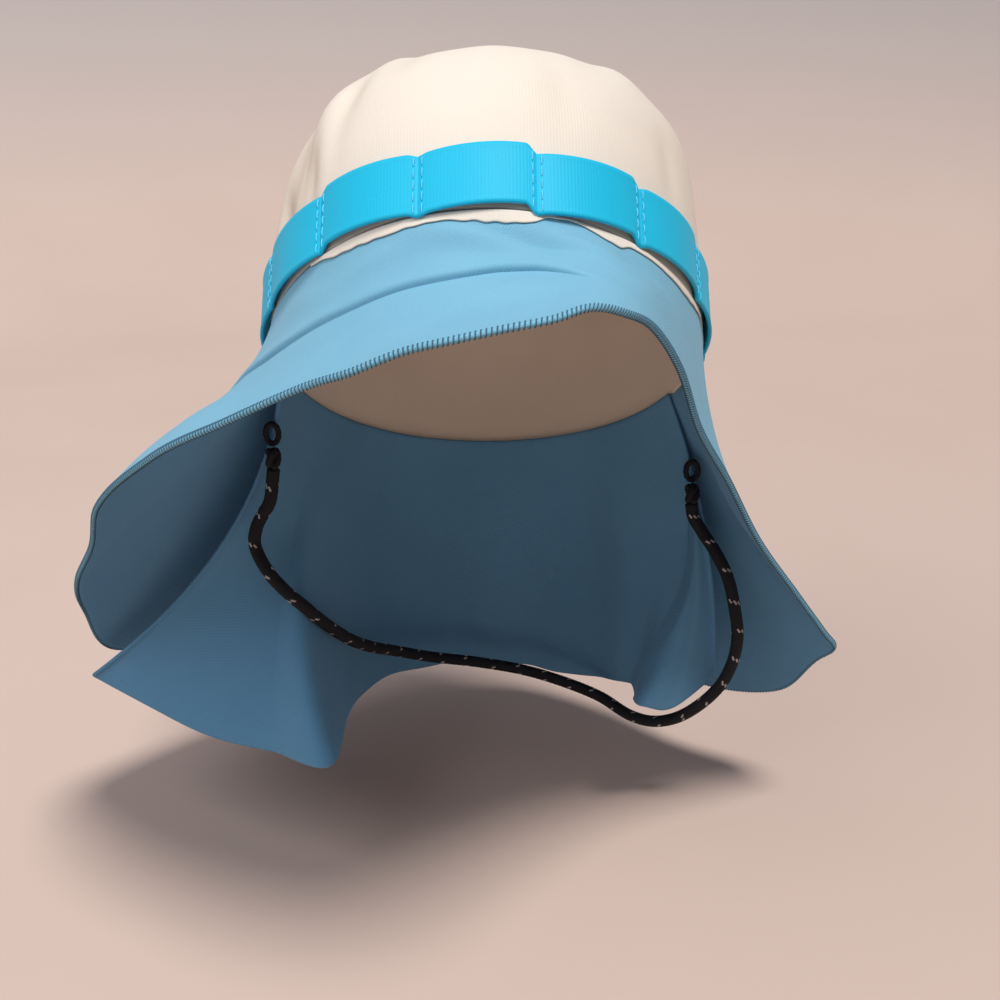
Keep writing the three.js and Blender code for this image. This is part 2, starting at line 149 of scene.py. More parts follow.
# %% [markdown]
# ## Cloth with two faces
# Cloth is thin but it isn't a sheet of paper: its cut edge shows a thickness, and light stops at
# it. So each piece is made as a middle surface on a grid of two parameters, pushed out and in by
# half the cloth along its normals, and closed by a rounded rim along each free edge.

# %% Helpers that turn arrays into meshes
def grid(columns, rows):
    """Two arrays of shape rows+1 by columns+1: u grows along a row from 0 to 1, v down a column."""
    return np.meshgrid(np.linspace(0, 1, columns + 1), np.linspace(0, 1, rows + 1))


def normals_of(surface, around):
    """Unit normals of a grid of points: the cross product of the steps along u and along v.
    Where u closes on itself, the step across the seam joins the last column to the first."""
    if around:
        wide = np.concatenate([surface[:, -2:-1], surface, surface[:, 1:2]], 1)
        along = wide[:, 2:] - wide[:, :-2]
    else:
        along = np.gradient(surface, axis=1)
    down = np.gradient(surface, axis=0)
    return unit(np.cross(along, down))


def new_object(name, data):
    """An object with this data, put in the scene."""
    made = bpy.data.objects.new(name, data)
    bpy.context.scene.collection.objects.link(made)
    return made


def mesh_object(name, points, faces, corner_uv=None, shades=None):
    """A mesh from an array of points in mm, lists of corners, a UV for each corner and named
    values for each point, all of it smooth-shaded and in the scene."""
    mesh = bpy.data.meshes.new(name)
    mesh.from_pydata((points * MM).tolist(), [], faces)
    if corner_uv is not None:
        layer = mesh.uv_layers.new(name="cloth")
        layer.data.foreach_set("uv", corner_uv.astype(np.float32).ravel())
    for key, values in (shades or {}).items():
        layer = mesh.attributes.new(key, "FLOAT", "POINT")
        layer.data.foreach_set("value", values.astype(np.float32))
    mesh.polygons.foreach_set("use_smooth", np.ones(len(mesh.polygons), bool))
    mesh.update()
    print(name, "faces", len(mesh.polygons))
    return new_object(name, mesh)


def cloth_uv(across, down):
    """A UV map in metres, from distances in mm across the cloth and down it."""
    return np.stack(np.broadcast_arrays(across, down), -1) * MM


# %% The two-faced cloth
RIM_BULGE = 0.8          # how far a rim stands out, as a share of half the cloth


def cloth(name, surface, thickness, uv, around=False, crowned=False, raised=None, shades=None,
          shaded_underside=False):
    """Cloth on a grid of points: outer = middle + half thickness along the normal, inner = middle
    less the same. raised adds height to the outer face, and shades are values on the grid of a
    piece that closes on itself. Free edges get a rounded rim. A crowned surface ends in one
    point. A piece with a shaded underside, whose normals point down, takes its second material
    there: a darker, bluer copy of the cloth, which is painted shade."""
    rows, columns = surface.shape[0] - 1, surface.shape[1] - 1
    normal = normals_of(surface, around)
    if crowned:
        normal[-1] = unit(normal[-2, :-1].mean(0))
    half = thickness / 2
    lift = half + (0 if raised is None else raised)
    outer = surface + normal * np.broadcast_to(lift, surface.shape[:2])[..., None]
    inner = surface - normal * half
    bulge = half * RIM_BULGE
    foot = surface[0] + unit(surface[0] - surface[1]) * bulge
    hem = surface[-1] + unit(surface[-1] - surface[-2]) * bulge
    points = np.concatenate([outer.reshape(-1, 3), inner.reshape(-1, 3), foot, hem])
    wide = columns + 1
    number = np.arange((rows + 1) * wide).reshape(rows + 1, wide)
    faces, corners = [], []

    def quads(a, b, c, d, uv_a, uv_b, uv_c, uv_d):
        """Adds faces from four arrays of point numbers, and their corners' UV."""
        faces.append(np.stack([a, b, c, d], -1).reshape(-1, 4))
        corners.append(np.stack([uv_a, uv_b, uv_c, uv_d], -2).reshape(-1, 4, 2))

    def face_grid(ids, flip):
        """The faces between neighbours in a grid of point numbers, turned over by flip."""
        a, b, c, d = ids[:-1, :-1], ids[:-1, 1:], ids[1:, 1:], ids[1:, :-1]
        p, q, r, s = uv[:-1, :-1], uv[:-1, 1:], uv[1:, 1:], uv[1:, :-1]
        if flip:
            a, b, c, d, p, q, r, s = a, d, c, b, p, s, r, q
        quads(a, b, c, d, p, q, r, s)

    far = (rows + 1) * wide
    face_grid(number, False)
    face_grid(number + far, True)

    def rim(out_ids, in_ids, rim_ids, rim_uv, flip):
        """Two rows of faces that close a free edge, from the outer face over the rim's line to the
        inner face."""
        for first, second in ((out_ids, rim_ids), (rim_ids, in_ids)):
            a, b, c, d = first[:-1], second[:-1], second[1:], first[1:]
            p, q = rim_uv[:-1], rim_uv[1:]
            if flip:
                quads(a, d, c, b, p, q, q, p)
            else:
                quads(a, b, c, d, p, p, q, q)

    foot_ids = 2 * far + np.arange(wide)
    hem_ids = foot_ids + wide
    rim(number[0], number[0] + far, foot_ids, uv[0], False)
    if not crowned:
        rim(number[-1], number[-1] + far, hem_ids, uv[-1], True)
    if not around:
        sides = []
        for k, near in ((0, 1), (-1, -2)):
            side = surface[:, k] + unit(surface[:, k] - surface[:, near]) * bulge
            side[0], side[-1] = foot[k], hem[k]
            sides.append(side)
        points = np.concatenate([points, *sides])
        left_ids = 2 * far + 2 * wide + np.arange(rows + 1)
        right_ids = left_ids + rows + 1
        left_ids[[0, -1]] = foot_ids[0], hem_ids[0]
        right_ids[[0, -1]] = foot_ids[-1], hem_ids[-1]
        rim(number[:, 0], number[:, 0] + far, left_ids, uv[:, 0], True)
        rim(number[:, -1], number[:, -1] + far, right_ids, uv[:, -1], False)

    faces, corners = np.concatenate(faces), np.concatenate(corners)
    shades = {
        key: np.concatenate([value.ravel(), value.ravel(), value[0], value[-1]])
        for key, value in (shades or {}).items()
    }
    made = mesh_object(name, points, faces.tolist(), corners, shades)
    # The underside's faces take the darker, bluer cloth: painted shade.
    if shaded_underside:
        under = np.arange(len(faces)) < rows * columns
        made.data.polygons.foreach_set("material_index", under.astype(np.int32))
    close_up(made)
    return made


def close_up(made):
    """Merges doubled points, such as those of a seam or a pole, and turns all faces outwards."""
    work = bmesh.new()
    work.from_mesh(made.data)
    bmesh.ops.remove_doubles(work, verts=work.verts, dist=1e-6)
    bmesh.ops.dissolve_degenerate(work, dist=1e-7, edges=work.edges)
    loose = [v for v in work.verts if not v.link_faces]
    bmesh.ops.delete(work, geom=loose, context="VERTS")
    bmesh.ops.recalc_face_normals(work, faces=work.faces)
    work.to_mesh(made.data)
    work.free()


# %% [markdown]
# ## Threads and cords
# Cord, thread and stitches are all the same shape: a round section carried along a path. Many
# stitches are worked out at once, as one array of paths, and joined in one mesh. A guide vector
# keeps the section from turning about its path.


# %% Tubes along many paths at once
TIP_REACH = 0.6          # how far a closed end stands out, as a share of the radius


def tubes(name, paths, radius, sides, guide, closed=False, shape=None, shades=None):
    """Round sections along paths of shape count by steps by 3. The section's axes are b = tangent
    cross guide and a = b cross tangent, and a point is centre + r (a cos t + b sin t). Open paths
    end in a low cone of triangles."""
    count, steps, _ = paths.shape
    if closed:
        tangent = np.roll(paths, -1, 1) - np.roll(paths, 1, 1)
    else:
        tangent = np.gradient(paths, axis=1)
    tangent = unit(tangent)
    b = unit(np.cross(tangent, guide))
    a = np.cross(b, tangent)
    turn = 2 * np.pi * np.arange(sides) / sides
    around = a[:, :, None] * np.cos(turn)[:, None] + b[:, :, None] * np.sin(turn)[:, None]
    reach = radius * (np.ones((count, steps, sides)) if shape is None else shape)
    points = paths[:, :, None] + around * reach[..., None]
    number = np.arange(count * steps * sides).reshape(count, steps, sides)
    after = np.roll(number, -1, 2)
    last = steps if closed else steps - 1
    onward = np.roll(number, -1, 1)[:, :last]
    quads = np.stack([number[:, :last], after[:, :last], np.roll(onward, -1, 2), onward], -1)
    whole = [quads.reshape(-1, 4)]
    flat = points.reshape(-1, 3)
    if not closed:
        tips = np.concatenate([
            paths[:, 0] - tangent[:, 0] * radius * TIP_REACH,
            paths[:, -1] + tangent[:, -1] * radius * TIP_REACH,
        ])
        first = len(flat) + np.arange(count)
        flat = np.concatenate([flat, tips])
        for tip, ring, back in ((first, number[:, 0], True), (first + count, number[:, -1], False)):
            following = np.roll(ring, -1, 1)
            top = np.broadcast_to(tip[:, None], ring.shape)
            pair = (following, ring) if back else (ring, following)
            whole.append(np.stack([*pair, top, top], -1).reshape(-1, 4))
    mesh_faces = [row[:3] if row[2] == row[3] else row for row in np.concatenate(whole).tolist()]
    shades = {key: np.resize(value.ravel(), len(flat)) for key, value in (shades or {}).items()}
    return mesh_object(name, flat, mesh_faces, shades=shades)


def along_line(points):
    """The distance from a line's start to each of its points."""
    return np.concatenate([[0], np.cumsum(np.linalg.norm(np.diff(points, axis=0), axis=1))])


def evenly(points, count):
    """The same line with count points at equal distances along it."""
    far = along_line(points)
    want = np.linspace(0, far[-1], count)
    return np.stack([np.interp(want, far, points[:, k]) for k in range(3)], -1)


# %% [markdown]
# ## The camera
# The camera comes before the pieces, because each of them is compared with the photograph from
# here. It looks down a little at the hat's front. The lens follows from how strongly the near
# rim is enlarged against the far one.

# %% The camera
CAMERA_PLACE = (0.0043, -0.468, 0.113)
CAMERA_DOWN = 20.3
CAMERA_ROLL = -0.44
CAMERA_LENS = 46.5
FRAME_WIDTH = 36


def make_camera():
    """A camera at its place, pitched down from level and rolled about its own line of sight."""
    data = bpy.data.cameras.new("camera")
    data.lens = CAMERA_LENS
    data.sensor_width = FRAME_WIDTH
    data.clip_start = 0.01
    camera = new_object("camera", data)
    pitch = Matrix.Rotation(math.radians(90 - CAMERA_DOWN), 4, "X")
    roll = Matrix.Rotation(math.radians(CAMERA_ROLL), 4, "Z")
    camera.matrix_world = Matrix.Translation(CAMERA_PLACE) @ pitch @ roll
    bpy.context.scene.camera = camera


make_camera()
print("camera at", CAMERA_PLACE)

# %% [markdown]
# ## The chin cord
# The cord is a soft braided one, five millimetres thick. It hangs from a knot at each front edge
# of the cape, passes down beside the face and goes round behind the neck. Its way is a list of
# given points, joined by one smooth line. The braid is a pattern of low diamonds, and a
# pale tracer thread shows as short flecks at even steps.

# %% The cord's way
CORD_DIAMETER = 5
CORD_SIDES, CORD_STEPS = 48, 1400
ROUTE_STEPS = 48
CORD_ROUTE = [
    (-83, -9, -57), (-86, -8, -62), (-89, -8, -68), (-90, -8, -75), (-85, -11, -85),
    (-78, -11, -94), (-72, -9, -101), (-67, -4, -109), (-62, 4, -118), (-57, 14, -127),
    (-51, 30, -138), (-43, 48, -149), (-27, 63, -160), (-6, 71, -167), (16, 70, -171),
    (35, 61, -173), (49, 50, -174), (61, 35, -175), (70, 26, -173), (79, 20, -168),
    (88, 15, -159), (96, 11, -147), (100, 9, -135), (101, 8, -123), (99, 8, -110),
    (96, 10, -98), (91, 13, -88), (85.5, 16, -80), (82, 17, -74),
]


def middle_of(node):
    """The middle of a node's box, in mm."""
    low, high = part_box(node)
    return (np.array(low) + np.array(high)) / 2 / MM


def foot_of(node):
    """The point just under the middle of a node's box, in mm."""
    low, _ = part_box(node)
    under = middle_of(node)
    under[2] = low[2] / MM - SEAT_GAP
    return under


def smooth_line(points, steps):
    """A centripetal Catmull-Rom line: knots stand apart by the square root of each chord, and
    each stretch is a cubic whose end slopes come from the three chords around it."""
    p = np.array(points, float)
    p = np.concatenate([2 * p[:1] - p[1:2], p, 2 * p[-1:] - p[-2:-1]])
    gap = np.sqrt(np.linalg.norm(np.diff(p, axis=0), axis=1))[:, None]
    before, here, after = gap[:-2], gap[1:-1], gap[2:]
    step = p[2:-1] - p[1:-2]
    start = (p[1:-2] - p[:-3]) / before - (p[2:-1] - p[:-3]) / (before + here) + step / here
    end = step / here - (p[3:] - p[1:-2]) / (here + after) + (p[3:] - p[2:-1]) / after
    start, end = start * here, end * here
    t = np.linspace(0, 1, steps, endpoint=False)[None, :, None]
    line = cubic(t, p[1:-2][:, None], start[:, None], p[2:-1][:, None], end[:, None])
    return np.concatenate([line.reshape(-1, 3), p[-2:-1]])


cord_points = [foot_of("cord_knot_right"), *CORD_ROUTE, foot_of("cord_knot_left")]
cord_line = evenly(smooth_line(cord_points, ROUTE_STEPS), CORD_STEPS)

# %% The braided tube
BRAID_PITCH = 9
BRAID_STRANDS = 8
BRAID_RELIEF = 0.05
FLECK_STEP = 13
FLECK_LONG, FLECK_WIDE = 1.9, 0.6
FLECK_PLACE, FLECK_WANDER = 0.9, 0.35
DASH_TURN, DASH_STEP = 0.72, 0.75
DASH_ACROSS, DASH_ALONG = 0.5, 0.87


def braid(along, turn):
    """Two families of strands that wind opposite ways. With p = pitches along plus turns, the
    height is the greater of the two cosines, kept above nought, as a share of the relief."""
    wind = BRAID_STRANDS / 2 * turn / (2 * np.pi)
    run = along / BRAID_PITCH * BRAID_STRANDS / 2
    one = np.abs(np.cos(np.pi * (run + wind)))
    two = np.abs(np.cos(np.pi * (run - wind)))
    return 1 + BRAID_RELIEF * (np.maximum(one, two) - 1)


def flecks(along, turn):
    """1 where the pale tracer thread comes up: every FLECK_STEP a row of short slanted dashes
    climbs across the cord, on two opposite sides. A dash is FLECK_LONG long and FLECK_WIDE wide
    along its own slanted axes, and a sine of the row's number lets the rows wander."""
    found = np.zeros_like(along)
    number = np.floor(along / FLECK_STEP)
    wander = np.sin(number * 2.4) * FLECK_WANDER
    for side in (FLECK_PLACE, FLECK_PLACE + np.pi):
        for k in (-1, 0, 1):
            across = turn_about(turn, side + wander + DASH_TURN * k) * CORD_DIAMETER / 2
            far = along % FLECK_STEP - FLECK_STEP / 2 + DASH_STEP * k
            long = np.abs(DASH_ACROSS * across - DASH_ALONG * far)
            wide = np.abs(DASH_ALONG * across + DASH_ACROSS * far)
            found = np.maximum(found, (long < FLECK_LONG / 2) * (wide < FLECK_WIDE / 2))
    return found


def turn_about(turn, place):
    """The signed turn from place, in radians, from -pi to pi."""
    return (turn - place + np.pi) % (2 * np.pi) - np.pi


def carried_guide(line):
    """A direction square to the line at each point, carried along it without twist: each is the
    one before it, less its part along the new tangent, made a unit again."""
    guides = [np.array([0.0, -1.0, 0.0])]
    for tangent in unit(np.gradient(line, axis=0)):
        guides.append(unit(guides[-1] - tangent * np.dot(guides[-1], tangent)))
    return np.array(guides[1:])


cord_along = along_line(cord_line)[:, None] * np.ones((1, CORD_SIDES))
cord_turn = (2 * np.pi * np.arange(CORD_SIDES) / CORD_SIDES)[None] * np.ones((CORD_STEPS, 1))
cord = tubes(
    "braided_chin_cord",
    cord_line[None],
    CORD_DIAMETER / 2,
    CORD_SIDES,
    carried_guide(cord_line)[None],
    shape=braid(cord_along, cord_turn)[None],
    shades={"fleck": flecks(cord_along, cord_turn)},
)
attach(cord, "root")
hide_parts("chin_cord")

# %% [markdown]
# ## The knots and their loops
# A small loop of thin cord is sewn to each front edge of the cape, and the chin cord is knotted
# into it. A tight overhand knot looks like a trefoil pulled small, and that is how it is made.

# %% Loops and knots
LOOP_CORD, LOOP_STEPS, LOOP_SIDES = 1.1, 72, 12
LOOP_TWIST, LOOP_TURNS = 0.07, 12
KNOT_CORD, KNOT_STEPS, KNOT_SIDES = 1.3, 160, 16
KNOT_RING, KNOT_WAVE = 1.5, 0.8
KNOT_TWIST, KNOT_TURNS, KNOT_LEAN = 0.06, 20, 0.3


def small_loop(node):
    """An oval ring of cord: x = middle + half width cos t, z = middle + half height sin t, both
    less the cord's radius, in the node's own box."""
    low, high = (np.array(c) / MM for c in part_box(node))
    half = (high - low) / 2 - LOOP_CORD
    t = 2 * np.pi * np.arange(LOOP_STEPS) / LOOP_STEPS
    path = middle_of(node) + np.stack([half[0] * np.cos(t), 0 * t, half[2] * np.sin(t)], -1)
    turn = 2 * np.pi * np.arange(LOOP_SIDES) / LOOP_SIDES
    twist = 1 + LOOP_TWIST * np.cos(3 * turn[None] - LOOP_TURNS * t[:, None])
    return tubes("braided_" + node[5:], path[None], LOOP_CORD, LOOP_SIDES, [0.0, 1.0, 0.0],
                 closed=True, shape=twist[None])


def small_knot(node):
    """A trefoil in the node's box: ring + wave cos 3t, turned by 2t, with height wave sin 3t,
    stretched up and down until it fills the box."""
    low, high = (np.array(c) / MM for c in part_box(node))
    t = 2 * np.pi * np.arange(KNOT_STEPS) / KNOT_STEPS
    reach = KNOT_RING + KNOT_WAVE * np.cos(3 * t)
    path = np.stack([reach * np.cos(2 * t), reach * np.sin(2 * t), 2 * KNOT_WAVE * np.sin(3 * t)], -1)
    path *= ((high - low) / 2 - KNOT_CORD) / np.abs(path).max(0)
    guide = np.stack([KNOT_LEAN * np.cos(2 * t), KNOT_LEAN * np.sin(2 * t), np.ones_like(t)], -1)
    turn = 2 * np.pi * np.arange(KNOT_SIDES) / KNOT_SIDES
    twist = 1 + KNOT_TWIST * np.cos(4 * turn[None] - KNOT_TURNS * t[:, None])
    return tubes("braided_" + node[5:], path[None] + middle_of(node), KNOT_CORD, KNOT_SIDES, guide[None],
                 closed=True, shape=twist[None])


trim = []
for side in ("right", "left"):
    for part, make in (("loop", small_loop), ("knot", small_knot)):
        piece = make("cord_" + part + "_" + side)
        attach(piece, "root")
        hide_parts("cord_" + part + "_" + side)
        trim.append(piece)

print("cord pieces:", [p.name for p in trim])

# %% [markdown]
# ## The crown
# The crown is one dome of cream cotton. Its outline runs straight up for the ribbon and then
# rounds over to a broad flat top. Soft cloth never keeps a clean dome, so dents and creases are
# pressed into it: each is a bell curve over the angle and the height.

# %% The crown's tables
CROWN_PROFILE = [  # step, height, width, depth as shares of the crown's height and the opening
    (0, 0, 1, 1), (1, 0.2, 1, 0.99), (2, 0.4, 1, 0.965), (3, 0.6, 0.96, 0.9),
    (4, 0.76, 0.88, 0.79), (5, 0.88, 0.76, 0.64), (6, 0.96, 0.57, 0.45),
    (7, 0.99, 0.3, 0.23), (8, 1, 0, 0),
]
CROWN_DENTS = [  # angle, height share, depth in mm, spread in degrees, reach as a height share
    (-58, 0.5, 2.6, 7, 0.3), (-44, 0.62, -1.6, 6, 0.25),
    (-64, 0.3, 2.6, 5, 0.12), (-47, 0.36, 2.2, 3.5, 0.16), (-36, 0.66, 1.8, 4, 0.12),
    (-82, 0.42, 1.5, 5, 0.2), (-22, 0.76, 1.2, 5, 0.12), (68, 0.8, -5, 34, 0.25),
    (140, 0.6, 3, 12, 0.3), (-140, 0.55, 3, 12, 0.3), (-66, 0.36, 1.6, 3.5, 0.14),
    (-52, 0.42, 1.2, 3, 0.2), (-38, 0.5, 0.8, 4, 0.2),
    (-75, 0.6, 1.0, 4, 0.2), (18, 0.55, 0.6, 5, 0.25), (52, 0.42, 0.8, 4, 0.16),
    (84, 0.5, 1.2, 5, 0.2), (105, 0.62, 1.0, 5, 0.2), (160, 0.4, 0.9, 4, 0.2),
    (-112, 0.5, 1.2, 5, 0.2), (-165, 0.6, 1.0, 5, 0.22), (180, 0.85, 1.5, 10, 0.12),
]
CROWN_BUMPS = [  # angle, height share, lift in mm, spread in degrees, reach as a height share
    (-31, 0.92, 3.6, 8, 0.1), (-17, 0.95, -0.8, 6, 0.08), (45, 0.88, 3.6, 9, 0.12),
    (28, 0.94, -0.6, 8, 0.08), (-52, 0.8, 1.5, 7, 0.1),
]
BUMP_WIDTH = 0.6         # bumps die away where the crown is narrower than this share
SWELL_HEIGHT, SWELL_SIZE = 0.5, 28
SWELL_FULL, SWELL_END = 0.3, 0.02
FULL_SHADE_DENT = 4           # a dent this deep gets the full painted shade
CROWN_ROUND = 560        # cloth round the crown, for its weave
CROWN_COLUMNS, CROWN_ROWS = 320, 96


def soft_noise(x, y, seed, size):
    """A slow random swell: sixteen sine waves of random direction and phase, with wavelengths
    near size, added and divided by four. The seed fixes them."""
    dice = np.random.default_rng(seed)
    total = np.zeros_like(x)
    for _ in range(16):
        turn, phase = dice.uniform(0, 2 * np.pi, 2)
        wave = 2 * np.pi / (size * dice.uniform(0.6, 1.8))
        total += np.sin(wave * (x * np.cos(turn) + y * np.sin(turn)) + phase)
    return total / 4


def bells(table, angle, height):
    """The sum over a table's rows of size times a bell curve in the angle and in the height."""
    return sum(
        size * np.exp(-(turn_between(angle, place) / spread) ** 2 - ((height - high) / reach) ** 2)
        for place, high, size, spread, reach in table
    )


def crown_surface():
    """Middle of the crown: the profile's widths and depths, less the dents as shares of the half
    width, laid round the opening and lifted by the height and by the bumps and a slow swell."""
    u, v = grid(CROWN_COLUMNS, CROWN_ROWS)
    angle = 360 * u
    height, width, depth = smooth_table(CROWN_PROFILE)(v * (len(CROWN_PROFILE) - 1))
    dent = bells(CROWN_DENTS, angle, height)
    shrink = 1 - dent / OPENING_HALF_WIDTH
    lift = CROWN_HEIGHT * height + OPENING_DIP * height * np.sin(np.radians(angle)) ** 2
    surface = ring_point(
        angle,
        OPENING_HALF_WIDTH * np.maximum(width, 0) * shrink,
        OPENING_HALF_DEPTH * np.maximum(depth, 0) * shrink,
        lift + bells(CROWN_BUMPS, angle, height) * np.clip(width / BUMP_WIDTH, 0, 1) ** 3,
    )
    x, y, z = np.moveaxis(surface, -1, 0)
    swell = SWELL_HEIGHT * soft_noise(x, z + y * 0.5, 4, SWELL_SIZE)
    fade = np.clip(height / SWELL_FULL, 0, 1) ** 2 * np.clip((1 - height) / SWELL_END, 0, 1)
    return surface + OPENING_UP * (swell * fade)[..., None], dent


crown_points, crown_dent = crown_surface()
crown_down = along_line(crown_points[:, CROWN_COLUMNS // 4])
crown_uv = cloth_uv(grid(CROWN_COLUMNS, CROWN_ROWS)[0] * CROWN_ROUND, crown_down[:, None])
# The shade attribute is painted shade, growing with the depth of each dent.
crown = cloth(
    "crown_cotton", crown_points, CROWN_CLOTH, crown_uv, around=True, crowned=True,
    shades={"shade": np.clip(crown_dent / FULL_SHADE_DENT, 0, 1)},
)
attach(crown, "root")
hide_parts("crown")


# %% [markdown]
# ## The ribbon
# The ribbon is bright webbing, 20 mm wide. It is tacked to the crown at even steps, and between
# two tacks it stands off in a low arch, so its edge steps up and down. Two rows of stitches hold
# each tack. Webbing is woven across, so fine cross ribs run over its whole width.

# %% The ribbon's loops
RIBBON_WIDTH = 20
RIBBON_RISE = 0.6
RIBBON_SINK = 2.8
FIRST_TACK = 11.6
LOOP_STAND_OFF = 1.8
LOOP_LIFT = 4
TACK_SHARE = 0.1
LOOP_FULLNESS = 0.6
RIBBON_LOOPS = np.array([  # stand, lift at the start, lift at the end
    (1, 0, 0.7), (1, 0.2, 0.5), (0.8, 0, 0.1), (0.8, 0.1, 0), (1, 0.2, 0.1), (0.9, 0, 0.2),
    (1, 0.1, 0.1), (0.9, 0, 0.2), (1, 0.1, 0), (0.8, 0.1, 0.1), (1, 0, 0), (0.9, 0, 0),
    (1, 0.5, 0.2), (1, 0.1, 0.8),
])
RIBBON_COLUMNS, RIBBON_ROWS = 64 * len(RIBBON_LOOPS), 16
RIBBON_EDGE, RIBBON_PLAIN = 0.18, 0.44   # rise of the two woven edges, and the half width between
RIBBON_SHADE = 0.12


def ribbon_point(u, v):
    """Middle of the ribbon: the crown's foot, half the two cloths and the gap further out, plus
    a bulge of sin(pi times phase) to the fullness, lifted between the tacks and sunk at the front."""
    count = len(RIBBON_LOOPS)
    angle = FIRST_TACK + 360 * u
    turned = (u * count + count) % count
    phase = turned % 1
    stand, start, end = RIBBON_LOOPS[np.floor(turned).astype(int)].transpose(2, 0, 1)
    held = ease(np.minimum(phase, 1 - phase) / TACK_SHARE)
    bulge = np.sin(np.pi * phase) ** LOOP_FULLNESS * LOOP_STAND_OFF * stand
    lift = LOOP_LIFT * held * (start + (end - start) * phase)
    sink = RIBBON_SINK * np.maximum(np.cos(np.radians(angle)), 0) ** 2
    out = CROWN_CLOTH / 2 + SEAT_GAP + RIBBON_CLOTH / 2 + bulge
    level = RIBBON_RISE + lift - sink + RIBBON_WIDTH * v
    return ring_point(angle, OPENING_HALF_WIDTH + out, OPENING_HALF_DEPTH + out, level), phase


ribbon_u, ribbon_v = grid(RIBBON_COLUMNS, RIBBON_ROWS)
ribbon_points, ribbon_phase = ribbon_point(ribbon_u, ribbon_v)
ribbon_run = along_line(ribbon_points[RIBBON_ROWS // 2])
ribbon_uv = cloth_uv(ribbon_run[None], ribbon_v * RIBBON_WIDTH)
ribbon_edges = RIBBON_EDGE * (np.abs(ribbon_v - 0.5) > RIBBON_PLAIN)
ribbon = cloth(
    "tacked_webbing", ribbon_points, RIBBON_CLOTH, ribbon_uv, around=True, raised=ribbon_edges,
    shades={"shade": np.clip(1 - np.minimum(ribbon_phase, 1 - ribbon_phase) / RIBBON_SHADE, 0, 1)},
)
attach(ribbon, "root")
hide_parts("ribbon")
print("ribbon round the crown, mm:", round(float(ribbon_run[-1])))

# %% The tack stitches
TACK_HALF, TACK_STITCHES, TACK_STEPS = 1.6, 5, 7
TACK_FROM, TACK_LONG = 0.14, 0.72        # where a stitch starts and how long it is, in its step
TACK_THREAD, TACK_GAP, TACK_ARCH = 0.22, 0.05, 0.28


def tack_stitches():
    """Short threads up the ribbon: two rows beside each tack, five stitches to a row, each a line
    from its lower to its upper hole that arches over the ribbon's outer face."""
    count = len(RIBBON_LOOPS)
    tack, row, stitch, step = (values.reshape(-1, TACK_STEPS) for values in np.meshgrid(
        np.arange(count), [-1, 1], np.arange(TACK_STITCHES), np.linspace(0, 1, TACK_STEPS),
        indexing="ij"))
    v = (stitch + TACK_FROM + TACK_LONG * step) / TACK_STITCHES
    u = tack / count + row * TACK_HALF / ribbon_run[-1]
    points, _ = ribbon_point(u % 1, v)
    turn = np.radians(FIRST_TACK + 360 * u)
    outward = np.stack([
        np.sin(turn),
        -np.cos(turn) * math.cos(OPENING_TILT),
        np.cos(turn) * math.sin(OPENING_TILT),
    ], -1)
    arch = TACK_ARCH * np.sin(np.pi * step)[..., None]
    paths = points + outward * (RIBBON_CLOTH / 2 + TACK_GAP + arch)
    return tubes("tack_stitches", paths, TACK_THREAD, 6, outward)


tacks = tack_stitches()
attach(tacks, "root")

# %% [markdown]
# ## The brim
# The brim is a wide ring of blue twill sewn under the crown's edge. At the front it goes out and
# a little down, with a fold pressed across it, and at the sides it droops. Each section is a
# smooth bend from the opening to the edge, and the table says where the edge lies.

